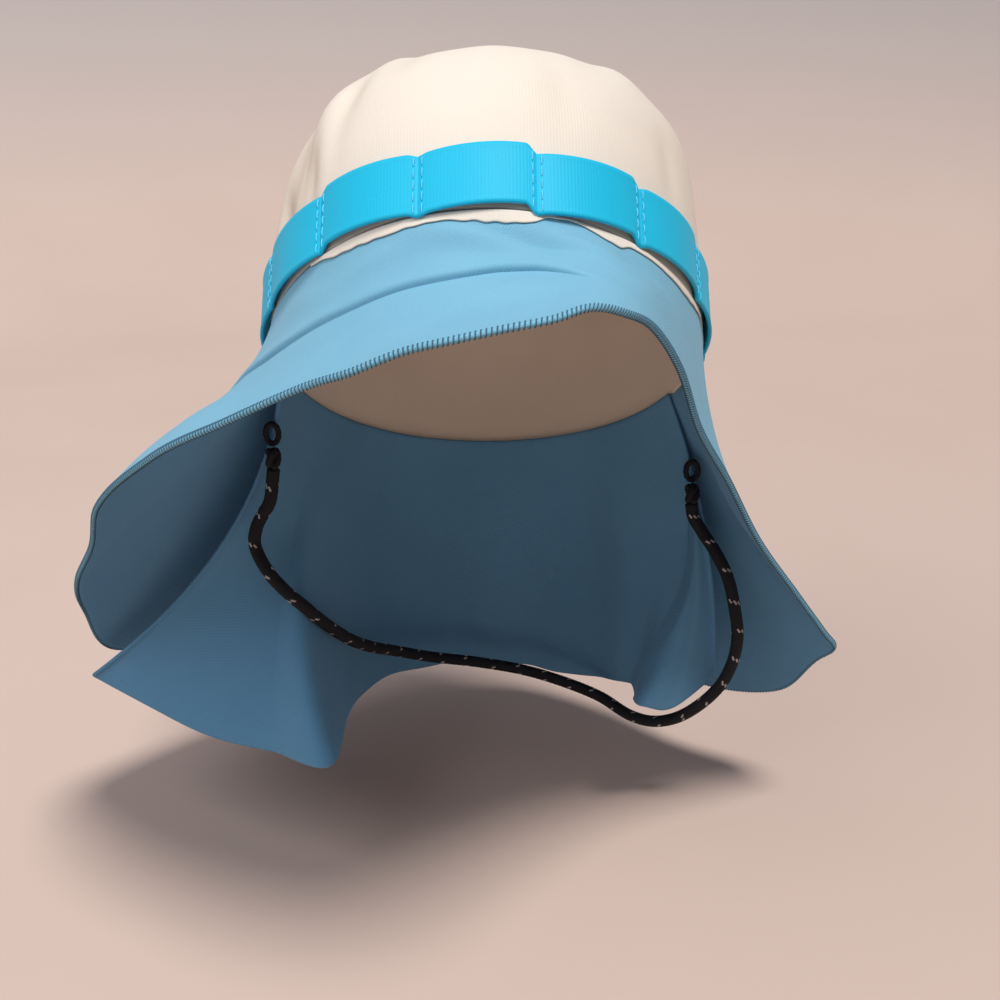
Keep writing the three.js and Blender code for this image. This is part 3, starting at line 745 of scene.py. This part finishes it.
# %% The brim's sections
EDGE_ROLL = 5
LEDGE_RISE, LEDGE_DROP = 1.7, 1.5
LEDGE_SHARP, LEDGE_OVERHANG = 0.011, 1.0
LEDGE_ABOVE, LEDGE_BELOW, LEDGE_LIP = 0.1, 0.07, 0.03    # how far each part dies away
CREASE_SHARE, CREASE_SPREAD, CREASE_CROWD = 0.385, 0.045, 7
FINE_STEPS = 2001
CREASE_LINE = [  # angle, share of the reach where the pressed fold runs
    (-180, 0.385), (-90, 0.43), (-61, 0.42), (-38, 0.39), (-22, 0.38), (-7, 0.37), (5, 0.36),
    (13, 0.385), (17, 0.44), (22, 0.54), (30, 0.62), (60, 0.5), (180, 0.385),
]
BRIM_SECTIONS = [  # angle, side, front, down, pull, drop, crease, roll
    (-155, -0.23, -0.7, 1.52, 0.6, 0.4, 0, 0), (-140, -0.62, -0.6, 1.57, 0.6, 0.4, 0, 0),
    (-125, -0.99, -0.41, 1.68, 0.5, 0.42, 0, 0), (-112, -1.37, -0.05, 1.69, 0.36, 0.45, 0, 0),
    (-100, -1.34, 0.07, 1.44, 0.26, 0.42, 0, 0.2), (-90, -1.2, 0.26, 1.2, 0.26, 0.43, 0, 0.6),
    (-85, -1.02, 0.39, 0.985, 0.245, 0.47, 0.05, 0.8), (-80, -0.91, 0.51, 0.77, 0.23, 0.51, 0.1, 1),
    (-70, -0.51, 0.81, 0.49, 0.24, 0.77, 0.6, 0.9), (-58, -0.15, 0.96, 0.38, 0.26, 1, 1, 0.3),
    (-46, 0.08, 1.01, 0.33, 0.28, 1.2, 1, 0.1), (-34, 0.12, 1.02, 0.36, 0.27, 1.2, 0.9, 0),
    (-22, 0.12, 0.99, 0.36, 0.26, 1.2, 0.9, 0), (-10, 0.08, 0.99, 0.36, 0.26, 1.2, 0.9, 0),
    (0, 0.07, 0.99, 0.33, 0.26, 1.25, 0.9, 0), (12, 0.03, 1, 0.27, 0.26, 1.3, 0.8, 0),
    (22, -0.01, 0.96, 0.19, 0.3, 1.2, 0.4, 0), (32, -0.04, 0.87, 0.17, 0.36, 0.9, 0, 0),
    (42, -0.05, 0.71, 0.19, 0.4, 0.7, 0, 0), (52, -0.02, 0.52, 0.34, 0.4, 0.6, 0, 0),
    (62, 0.03, 0.31, 0.6, 0.4, 0.55, 0, 0), (74, 0.16, 0.21, 0.8, 0.1, 0.55, 0, 0),
    (86, 0.38, 0.14, 1.09, -0.1, 0.55, 0, 0), (98, 0.73, 0.09, 1.4, 0.24, 0.52, 0, 0),
    (105, 0.982, 0.048, 1.617, 0.3, 0.506, 0, 0), (108, 1.09, 0.03, 1.71, 0.33, 0.5, 0, 0),
    (111, 1.03, -0.015, 1.8, 0.355, 0.494, 0, 0), (118, 0.92, -0.12, 2.05, 0.41, 0.48, 0, 0),
    (127, 0.56, -0.29, 2.07, 0.5, 0.46, 0, 0), (140, 0.32, -0.51, 1.78, 0.5, 0.42, 0, 0),
    (155, 0.08, -0.67, 1.58, 0.6, 0.4, 0, 0), (180, 0, -0.63, 1.44, 0.66, 0.4, 0, 0),
]
BRIM_FOLDS = [  # angle, share, height in mm, spread in degrees, reach as a share, slant
    (-4, 0.16, 2.4, 9, 0.05, 0.006), (14, 0.2, -2.8, 12, 0.05, 0.008),
    (24, 0.26, 3.1, 10, 0.06, 0.01), (38, 0.2, -2.9, 8, 0.08, 0.012),
    (-26, 0.18, 1.4, 10, 0.06, -0.004), (-48, 0.2, 1.5, 8, 0.08, 0),
    (6, 0.55, 1, 16, 0.1, 0.003), (-60, 0.62, -1.2, 12, 0.12, 0), (46, 0.5, 1.4, 9, 0.2, 0),
    (150, 0.5, 1.6, 10, 0.3, 0), (-150, 0.6, 1.6, 10, 0.3, 0), (176, 0.7, -1.6, 9, 0.3, 0),
]
BRIM_COLUMNS, BRIM_ROWS = 440, 84
read_brim = smooth_table(once_round(BRIM_SECTIONS))


def bend(start, middle, end, share):
    """A quadratic curve: (1-s)^2 start + 2s(1-s) middle + s^2 end."""
    s = share[..., None]
    return (1 - s) ** 2 * start + 2 * s * (1 - s) * middle + s**2 * end


def brim_point(angle, share):
    """Middle of the brim: a bend from the opening to the edge, plus soft folds as slanted bell
    curves, a roll of sin(pi times share cubed), and the pressed fold as a ledge."""
    side, front, down, pull, drop, crease, roll = read_brim(turn_between(angle, 0))
    root = ring_point(angle, OPENING_HALF_WIDTH, OPENING_HALF_DEPTH, -BRIM_CLOTH / 2 - SEAT_GAP)
    reach = BRIM_REACH * np.stack([side, -front, -down], -1)
    waist = root + reach * np.stack([pull, pull, drop], -1)
    point = bend(root, waist, root + reach, share)
    point[..., 2] += roll * EDGE_ROLL * np.sin(np.pi * share**3) + sum(
        high * np.exp(-(turn_between(angle, place) / spread) ** 2
                      - ((share - at - slant * turn_between(angle, place)) / reach_share) ** 2)
        for place, at, high, spread, reach_share, slant in BRIM_FOLDS
    )
    return point + ledge(share - crease_line(angle), crease, unit(reach))


def crease_line(angle):
    """The share of the reach where the fold runs, at each angle."""
    return smooth_table(CREASE_LINE)(turn_between(angle, 0))[0]


def ledge(far, strength, outward):
    """The pressed fold: tanh of the distance past it gives a step down whose two sides die away
    exponentially, and the lip is pushed outward over the foot by a bell curve."""
    step = np.tanh(-far / LEDGE_SHARP)
    height = step * np.where(
        far < 0, LEDGE_RISE * np.exp(far / LEDGE_ABOVE), LEDGE_DROP * np.exp(-far / LEDGE_BELOW))
    over = step * LEDGE_OVERHANG * np.exp(-((far / LEDGE_LIP) ** 2))
    move = outward * (strength * over)[..., None]
    move[..., 2] += strength * height
    return move


def brim_grid(columns, rows):
    """A grid whose rows crowd where the ledge is: the spacing is one over a density with a bell at
    the fold, and a tent function slides that row onto the fold's line at each angle."""
    u, v = grid(columns, rows)
    fine = np.linspace(0, 1, FINE_STEPS)
    density = 1 + CREASE_CROWD * np.exp(-(((fine - CREASE_SHARE) / CREASE_SPREAD) ** 2))
    reached = np.concatenate([[0], np.cumsum(density[1:])])
    share = np.interp(v, reached / reached[-1], fine)
    tent = np.minimum(share / CREASE_SHARE, (1 - share) / (1 - CREASE_SHARE))
    return u, share + (crease_line(360 * u) - CREASE_SHARE) * tent


brim_u, brim_v = brim_grid(BRIM_COLUMNS, BRIM_ROWS)
brim_points = brim_point(360 * brim_u, brim_v)
brim_run = along_line(brim_points[BRIM_ROWS // 2])
brim_uv = cloth_uv(brim_run[None], brim_v * BRIM_REACH)
# The brim's underside takes the darker, bluer twill, which is painted shade.
brim = cloth("brim_twill", brim_points, BRIM_CLOTH, brim_uv, around=True, shaded_underside=True)
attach(brim, "root")
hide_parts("brim")
print("brim edge, mm round:", round(float(along_line(brim_points[-1])[-1])))

# %% [markdown]
# ## The crown's selvage
# The crown's white selvage lies on the brim and peeps out under the ribbon at the front. How far
# it comes out changes along it, because it was cut by hand.

# %% The selvage
SELVAGE_CLOTH, SELVAGE_GAP = 0.5, 0.15
SELVAGE_FROM, SELVAGE_WANDER, SELVAGE_GRAIN = 0.004, 0.004, 5
SELVAGE_LONG, SELVAGE_WIDE = 120, 4      # for its weave
SELVAGE_COLUMNS, SELVAGE_ROWS = 420, 8
SELVAGE_REACH = [  # angle, share of the brim's reach to which it comes out
    (-44, 0.015), (-34, 0.046), (-20, 0.054), (-12, 0.046), (-2, 0.05), (6, 0.064), (11, 0.062),
    (14, 0.025), (22, 0.025), (26, 0.062), (32, 0.07), (36, 0.052), (42, 0.064), (56, 0.058),
    (68, 0.015),
]


def selvage_points(u, v):
    """The strip on the brim's upper face, from SELVAGE_FROM to the reach of the table, to which a
    slow noise along the edge adds a fine wander."""
    angle = SELVAGE_REACH[0][0] + u * (SELVAGE_REACH[-1][0] - SELVAGE_REACH[0][0])
    wander = SELVAGE_WANDER * soft_noise(angle, 0 * angle, 8, SELVAGE_GRAIN)
    far = smooth_table(SELVAGE_REACH)(angle)[0] + wander
    lying = brim_point(angle % 360, SELVAGE_FROM + (far - SELVAGE_FROM) * v)
    above = BRIM_CLOTH / 2 + SELVAGE_CLOTH / 2 + SELVAGE_GAP
    return lying - normals_of(lying, False) * above


strip_u, strip_v = grid(SELVAGE_COLUMNS, SELVAGE_ROWS)
selvage = cloth("crown_selvage", selvage_points(strip_u, strip_v), SELVAGE_CLOTH,
                cloth_uv(strip_u * SELVAGE_LONG, strip_v * SELVAGE_WIDE))
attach(selvage, "root")

# %% [markdown]
# ## Stitches over the edge
# The raw edge is bound by an overlock stitch: a dark thread goes over the edge again and again.
# From the front it reads as a row of tiny teeth under the brim. Each thread is an arch from the
# upper face, round the edge, to the lower face.

# %% The overlock
STITCH_STEP = 1.45
STITCH_REACH = 1.8
STITCH_LEAN = 0.35
THREAD, THREAD_SEAT, THREAD_SIDES = 0.21, 0.55, 5
OVERLOCK = np.array([  # in from the edge as a share of the reach, and off the middle surface
    (0.4, 0.9), (0.2, 1.1), (-0.1, 1.0), (-0.24, 0.55), (-0.29, 0), (-0.24, -0.6),
    (0.05, -1.1), (0.55, -1.15), (1.0, -0.9),
])


def overlock(name, edge, inward, normal, half_cloth):
    """One arch for each stitch: edge + inward times share times reach + normal times height times
    half the cloth plus the thread, leaning forward a little from the top to the underside."""
    share = OVERLOCK[:, 0][None, :, None] * STITCH_REACH
    high = OVERLOCK[:, 1][None, :, None] * (half_cloth + THREAD_SEAT * THREAD)
    ahead = unit(np.gradient(edge, axis=0))[:, None]
    lean = np.linspace(-STITCH_LEAN, STITCH_LEAN, len(OVERLOCK))[None, :, None] * STITCH_STEP
    paths = edge[:, None] + inward[:, None] * share + normal[:, None] * high + ahead * lean
    return tubes(name, paths, THREAD, THREAD_SIDES, ahead * np.ones((1, len(OVERLOCK), 1)))


def spread_along(line, values, step):
    """The values that belong to a line's points, read at even steps along it."""
    far = along_line(line)
    want = np.arange(step / 2, far[-1], step)
    return np.stack([np.interp(want, far, values[:, k]) for k in range(3)], -1)


brim_hem = brim_points[-1]
edge_line, edge_in, edge_up = (
    spread_along(brim_hem, values, STITCH_STEP)
    for values in (brim_hem, unit(brim_points[-3] - brim_hem), normals_of(brim_points, True)[-1])
)
brim_overlock = overlock("brim_overlock", edge_line, unit(edge_in), unit(edge_up), BRIM_CLOTH / 2)
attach(brim_overlock, "root")
print("brim stitches:", len(edge_line))

# %% [markdown]
# ## The neck cape
# The cape hangs inside the brim, from one temple round the back to the other. It is open at the
# front, its right side is blown out to a point, and soft flutes run down it. Each hanging line
# leaves the opening, is drawn in or out half way, and ends at the hem.

# %% The cape's lines
CAPE_LINES = [  # turn from the front, waist side, waist front, hem side, hem front, hem down
    (88, -0.04, -0.01, -0.70, -0.15, 1.07), (98, -0.05, 0.03, -0.49, 0.06, 1.05),
    (108, -0.11, 0.12, -0.30, 0.28, 1.01), (118, -0.16, 0.23, -0.15, 0.46, 0.94),
    (128, -0.20, 0.35, -0.01, 0.64, 0.87), (134, -0.17, 0.26, -0.04, 0.41, 0.84),
    (141, -0.15, 0.15, -0.07, 0.17, 0.88), (152, -0.11, 0.00, -0.05, -0.04, 0.90),
    (180, 0.02, 0.04, 0.02, -0.15, 0.92), (208, 0.12, 0.00, 0.06, -0.07, 0.95),
    (219, 0.14, 0.12, 0.06, 0.02, 0.94), (226, 0.17, 0.15, 0.07, 0.1, 0.93),
    (231, 0.24, 0.16, 0.02, 0.2, 0.91), (236, 0.27, 0.14, 0.01, 0.23, 0.92),
    (243, 0.24, 0.1, 0.07, 0.15, 0.98), (250, 0.18, 0.03, 0.18, 0.04, 0.94),
]
CAPE_COLUMNS, CAPE_ROWS = 380, 90
HEM_WIDTH, HEM_RISE, HEM_SHARP = 7, 0.22, 3
FOLD_TURN, FOLD_SLANT, FOLD_FROM = 246, 27.7, 0.35
FOLD_BACK, FOLD_SHARP, FOLD_FADE = 9, 3, 20
FOLD_ROOT, FOLD_GROWN = 0.12, 0.3
CAPE_INSET = (BRIM_CLOTH / 2 + CAPE_CLOTH / 2 + SEAT_GAP) / math.cos(OPENING_TILT)
CAPE_FLUTES = [  # turn, height in mm, spread in degrees
    (104, 0.9, 5), (114, -0.8, 4), (123, 0.8, 3), (148, 1.4, 4), (158, -1.2, 5), (168, 1.5, 5),
    (178, -1.3, 5), (189, 1.5, 5), (199, -1.2, 5), (214, 1.0, 4), (238, 0.7, 3),
]


def set_back(turned, v):
    """How far the cloth goes back behind the cape's left fold, whose turn is FOLD_TURN less the
    slant times the way down past FOLD_FROM: a quick smooth step that dies away exponentially
    and grows with the way down."""
    past = FOLD_TURN - FOLD_SLANT * (v - FOLD_FROM) - turned
    grown = np.clip((v - FOLD_ROOT) / FOLD_GROWN, 0, 1) ** 2
    return FOLD_BACK * grown * ease(past / FOLD_SHARP) * np.exp(-np.maximum(past, 0) / FOLD_FADE)


def cape_point(u, v):
    """Middle of the cape: a bend from the opening to the hem through the waist, moved out and in
    by bell curves of the turn that grow with the square of the way down, and set back at the fold."""
    turned = CAPE_LINES[0][0] + u * (CAPE_LINES[-1][0] - CAPE_LINES[0][0])
    waist_side, waist_front, hem_side, hem_front, hem_down = smooth_table(CAPE_LINES)(turned)
    root = ring_point(
        -turned, OPENING_HALF_WIDTH - CAPE_INSET, OPENING_HALF_DEPTH - CAPE_INSET,
        -CAPE_CLOTH / 2 - SEAT_GAP,
    )
    hem = root + CAPE_LENGTH * np.stack([hem_side, -hem_front, -hem_down], -1)
    waist = root + CAPE_LENGTH * np.stack([waist_side, -waist_front, -hem_down / 2], -1)
    point = bend(root, waist, hem, v)
    flute = sum(
        high * np.exp(-(((turned - place) / spread) ** 2)) for place, high, spread in CAPE_FLUTES)
    turn = np.radians(turned)
    outward = np.stack([-np.sin(turn), -np.cos(turn), 0 * turn], -1)
    point[..., 1] += set_back(turned, v)
    return point + outward * (flute * v**2)[..., None]


cape_u, cape_v = grid(CAPE_COLUMNS, CAPE_ROWS)
cape_points = cape_point(cape_u, cape_v)
cape_run = along_line(cape_points[CAPE_ROWS // 2])
cape_uv = cloth_uv(cape_run[None], cape_v * CAPE_LENGTH)
side_edge = np.minimum(cape_u, 1 - cape_u) * cape_run[-1]
hem_edge = (1 - cape_v) * CAPE_LENGTH
hemmed = HEM_RISE / (1 + np.exp((np.minimum(side_edge, hem_edge) - HEM_WIDTH) * HEM_SHARP))
cape = cloth("cape_twill", cape_points, CAPE_CLOTH, cape_uv, raised=hemmed)
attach(cape, "root")
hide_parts("neck_cape")

# %% [markdown]
# ## Materials
# Cloth looks like cloth because of its weave, its soft sheen at grazing angles and slight changes
# of colour as of wear. Painted shade darkens the crown's dents, and the brim's underside and the
# whole cape take a darker, bluer copy of the blue twill as painted shade. The weave follows the UV
# map, in metres, so it bends with each fold. Broad colour changes come from noise on the piece's
# own coordinates.

# %% Node helpers
def join(source, node, key):
    """Links another node's socket to an input, or sets the input to a number or a colour."""
    if isinstance(source, bpy.types.NodeSocket):
        node.id_data.links.new(source, node.inputs[key])
    else:
        node.inputs[key].default_value = (*source, 1) if isinstance(source, tuple) else source


def new_material(name):
    """A material with one principled shader, and a function that adds nodes to it."""
    material = bpy.data.materials.new(name)
    material.use_nodes = True
    tree = material.node_tree

    def add(kind, **values):
        """A node of that kind, with its inputs and properties set or joined by name."""
        node = tree.nodes.new(kind)
        for key, value in values.items():
            if key in node.inputs:
                join(value, node, key)
            else:
                setattr(node, key, value)
        return node

    return material, tree.nodes["Principled BSDF"], add


def finish(shader, **inputs):
    """Sets or joins inputs of a shader, by their names with _ for each space."""
    for key, value in inputs.items():
        join(value, shader, key.replace("_", " "))


def math_node(add, operation, *values):
    """A math node of sockets or numbers."""
    node = add("ShaderNodeMath", operation=operation)
    for k, value in enumerate(values):
        join(value, node, k)
    return node.outputs[0]


def tint(add, factor, dark, light):
    """A colour between dark and light by a factor. Each is a colour or another node's socket."""
    node = add("ShaderNodeMix", data_type="RGBA")
    for key, value in ((0, factor), (6, dark), (7, light)):
        join(value, node, key)
    return node.outputs[2]


def noise_on_piece(add, scale, detail, rough=0.5):
    """Noise on the piece's own coordinates, in metres."""
    place = add("ShaderNodeTexCoord").outputs["Object"]
    node = add("ShaderNodeTexNoise", Vector=place, Scale=scale, Detail=detail, Roughness=rough)
    return node.outputs[0]


def relief(add, height, strength, distance):
    """The normals of a bumpy surface, from its height and how many metres a height of 1 is."""
    return add("ShaderNodeBump", Height=height, Strength=strength, Distance=distance).outputs[0]


# %% Woven cloth
YARN_MEAN, YARN_CONTRAST = 0.6, 0.12
WORN_SHARE = 0.35        # how much of the colour change is fine
ROUGH_CHANGE = 0.06
WEAVE, RIB_WEAVE = 0.0012, 0.0011        # metres from yarn to yarn


def woven(name, dark, light, pitch, twill, bump, rough, sheen):
    """Cloth with yarns a pitch apart: height is |sin| of the warp phase times a half and a half of
    |sin| of the weft phase, and a twill shifts the warp phase by one yarn in each row."""
    material, shader, add = new_material(name)
    axes = add("ShaderNodeSeparateXYZ", Vector=add("ShaderNodeUVMap", uv_map="cloth").outputs[0])
    warp, weft = (math_node(add, "MULTIPLY", axes.outputs[k], math.pi / pitch) for k in (0, 1))
    slant = math_node(add, "MULTIPLY_ADD", weft, twill, warp)
    one, two = (math_node(add, "ABSOLUTE", math_node(add, "SINE", phase)) for phase in (slant, weft))
    yarn = math_node(add, "MULTIPLY", one, math_node(add, "MULTIPLY_ADD", two, 0.5, 0.5))
    broad = noise_on_piece(add, 22.0, 4.0, 0.6)
    fine = noise_on_piece(add, 1400.0, 2.0)
    mixed = math_node(add, "MULTIPLY_ADD", broad, 1 - WORN_SHARE,
                      math_node(add, "MULTIPLY", fine, WORN_SHARE))
    mixed = math_node(add, "MULTIPLY_ADD", math_node(add, "SUBTRACT", yarn, YARN_MEAN),
                      YARN_CONTRAST, mixed)
    roughness = add("ShaderNodeMapRange", Value=fine)
    join(rough - ROUGH_CHANGE, roughness, 3)
    join(rough + ROUGH_CHANGE, roughness, 4)
    colour = tint(add, mixed, dark, light)
    height = math_node(add, "MULTIPLY_ADD", fine, 0.6, yarn)
    finish(shader, Base_Color=colour, Normal=relief(add, height, 0.6, bump),
           Roughness=roughness.outputs[0], Sheen_Weight=sheen, Sheen_Roughness=0.5,
           Specular_IOR_Level=0.25)
    return material, shader, add, colour


brim_cloth = woven("blue_twill", (0.15, 0.38, 0.53), (0.22, 0.5, 0.66), WEAVE, 1.0, 0.00011,
                   0.82, 0.1)[0]
# A darker, bluer copy of the blue twill: painted shade on the brim's underside and the whole cape.
shaded_twill = woven("blue_twill_painted_shade", (0.08, 0.225, 0.38), (0.12, 0.3, 0.48), WEAVE, 1.0, 0.00011,
                    0.85, 0.05)[0]
ribbon_cloth = woven("cyan_webbing", (0.006, 0.44, 0.68), (0.01, 0.54, 0.8), RIB_WEAVE, 0.0, 0.00007,
                     0.55, 0.03)[0]
brim.data.materials.append(brim_cloth)
for piece in (brim, cape):
    piece.data.materials.append(shaded_twill)
ribbon.data.materials.append(ribbon_cloth)
print("cloth materials:", brim_cloth.name, ribbon_cloth.name)


# %% The cream cotton and the threads
def cream_cotton():
    """Cream cloth with painted shade in its dents: the shade attribute turns the woven colour
    towards a warm grey."""
    material, shader, add, colour = woven(
        "cream_cotton", (0.74, 0.66, 0.56), (0.82, 0.74, 0.65), WEAVE, 0.0, 0.00006, 0.88, 0.03)
    # Painted shade: the dents turn towards a warm grey-brown.
    shade = add("ShaderNodeAttribute", attribute_name="shade").outputs["Fac"]
    dent_shade = math_node(add, "MULTIPLY", shade, 0.45)
    finish(shader, Base_Color=tint(add, dent_shade, colour, (0.62, 0.5, 0.36)))
    return material


def thread(name, dark, light, rough):
    """Twisted thread: noise on the piece's own place varies its colour and height."""
    material, shader, add = new_material(name)
    noise = noise_on_piece(add, 2200.0, 2.0)
    finish(shader, Base_Color=tint(add, noise, dark, light), Roughness=rough,
           Normal=relief(add, noise, 0.5, 0.0001))
    return material


def braided_cord():
    """Black cord: noise for its strands, and the fleck attribute turns it pale."""
    material, shader, add = new_material("black_cord")
    noise = noise_on_piece(add, 1800.0, 3.0)
    black = tint(add, noise, (0.002, 0.002, 0.004), (0.009, 0.009, 0.014))
    fleck = add("ShaderNodeAttribute", attribute_name="fleck").outputs["Fac"]
    finish(shader, Base_Color=tint(add, fleck, black, (0.5, 0.46, 0.45)), Roughness=0.78,
           Normal=relief(add, noise, 0.6, 0.00015), Specular_IOR_Level=0.3)
    return material


cream = cream_cotton()
for piece in (crown, selvage):
    piece.data.materials.append(cream)
tacks.data.materials.append(thread("cyan_thread", (0.06, 0.55, 0.78), (0.16, 0.68, 0.88), 0.5))
brim_overlock.data.materials.append(
    thread("navy_thread", (0.03, 0.095, 0.15), (0.06, 0.16, 0.23), 0.7))
cord_finish = braided_cord()
for piece in (cord, *trim):
    piece.data.materials.append(cord_finish)
print("materials:", [m.name for m in bpy.data.materials])

# %% [markdown]
# ## Floor and light
# The hat is held up, as a head holds it, above a plain pale floor that sweeps up round it. One
# broad distant light stands high in front, a little to the wearer's left as in the photograph, and
# a weak one fills the other side. The pale world lifts the shadows.

# %% The studio
FLOOR_LEVEL, FLOOR_MIDDLE = -0.215, 0.01
SWEEP_START, SWEEP_BEND, WALL_HEIGHT = 1.0, 0.9, 1.3
SWEEP_STEPS, SWEEP_SIDES = 24, 128
WALL_FROM = 0.4


def make_floor():
    """A round pale floor, warm as bare wood, that sweeps up all round into a greyer wall: a flat
    disc, then r = start + bend sin t and z = bend (1 - cos t), then straight up."""
    t = np.linspace(0, np.pi / 2, SWEEP_STEPS)
    reach = np.concatenate([
        [FLOOR_MIDDLE], SWEEP_START + SWEEP_BEND * np.sin(t), [SWEEP_START + SWEEP_BEND]])
    high = np.concatenate([[0], SWEEP_BEND * (1 - np.cos(t)), [WALL_HEIGHT]]) + FLOOR_LEVEL
    turn = 2 * np.pi * np.arange(SWEEP_SIDES) / SWEEP_SIDES
    x, y = reach[:, None] * np.cos(turn), reach[:, None] * np.sin(turn)
    points = np.stack([x, y, high[:, None] + 0 * turn], -1).reshape(-1, 3)
    number = np.arange(len(points)).reshape(len(reach), SWEEP_SIDES)
    after = np.roll(number, -1, 1)
    faces = np.stack([number[:-1], number[1:], after[1:], after[:-1]], -1).reshape(-1, 4)
    mesh = bpy.data.meshes.new("floor")
    mesh.from_pydata(points.tolist(), [], [*faces.tolist(), number[0].tolist()])
    mesh.polygons.foreach_set("use_smooth", np.ones(len(mesh.polygons), bool))
    material, shader, add = new_material("pale_floor")
    wood = tint(add, noise_on_piece(add, 6.0, 3.0), (0.56, 0.43, 0.37), (0.6, 0.47, 0.41))
    place = add("ShaderNodeTexCoord").outputs["Object"]
    height = add("ShaderNodeSeparateXYZ", Vector=place).outputs[2]
    rise = add("ShaderNodeMapRange", Value=height, interpolation_type="SMOOTHSTEP")
    join(FLOOR_LEVEL, rise, 1)
    join(FLOOR_LEVEL + WALL_FROM, rise, 2)
    finish(shader, Base_Color=tint(add, rise.outputs[0], wood, (0.47, 0.42, 0.4)), Roughness=0.8,
           Specular_IOR_Level=0.1)
    mesh.materials.append(material)
    floor = new_object("floor", mesh)


def make_light(kind, name, place, power, colour, **shape):
    """A light at place that shines at the origin, of the size or angle that shape gives."""
    data = bpy.data.lights.new(name, kind)
    data.energy, data.color = power, colour
    for key, value in shape.items():
        setattr(data, key, value)
    light = new_object(name, data)
    light.location = place
    light.rotation_euler = Vector(place).to_track_quat("Z", "Y").to_euler()


def make_world():
    """A plain pale sky of one colour."""
    world = bpy.data.worlds.new("studio")
    world.use_nodes = True
    sky = world.node_tree.nodes["Background"]
    sky.inputs[0].default_value = (0.62, 0.74, 0.95, 1)
    sky.inputs[1].default_value = 0.27
    bpy.context.scene.world = world


bpy.context.scene.view_settings.view_transform = "Standard"
make_floor()
make_world()
make_light("SUN", "key", (0.3, -0.4, 1.2), 2.8, (1.0, 0.97, 0.94), angle=math.radians(16))
make_light("AREA", "fill", (-0.7, -0.7, 1.0), 7.5, (0.95, 0.97, 1.0), size=0.8)
print("lights and floor are in place")
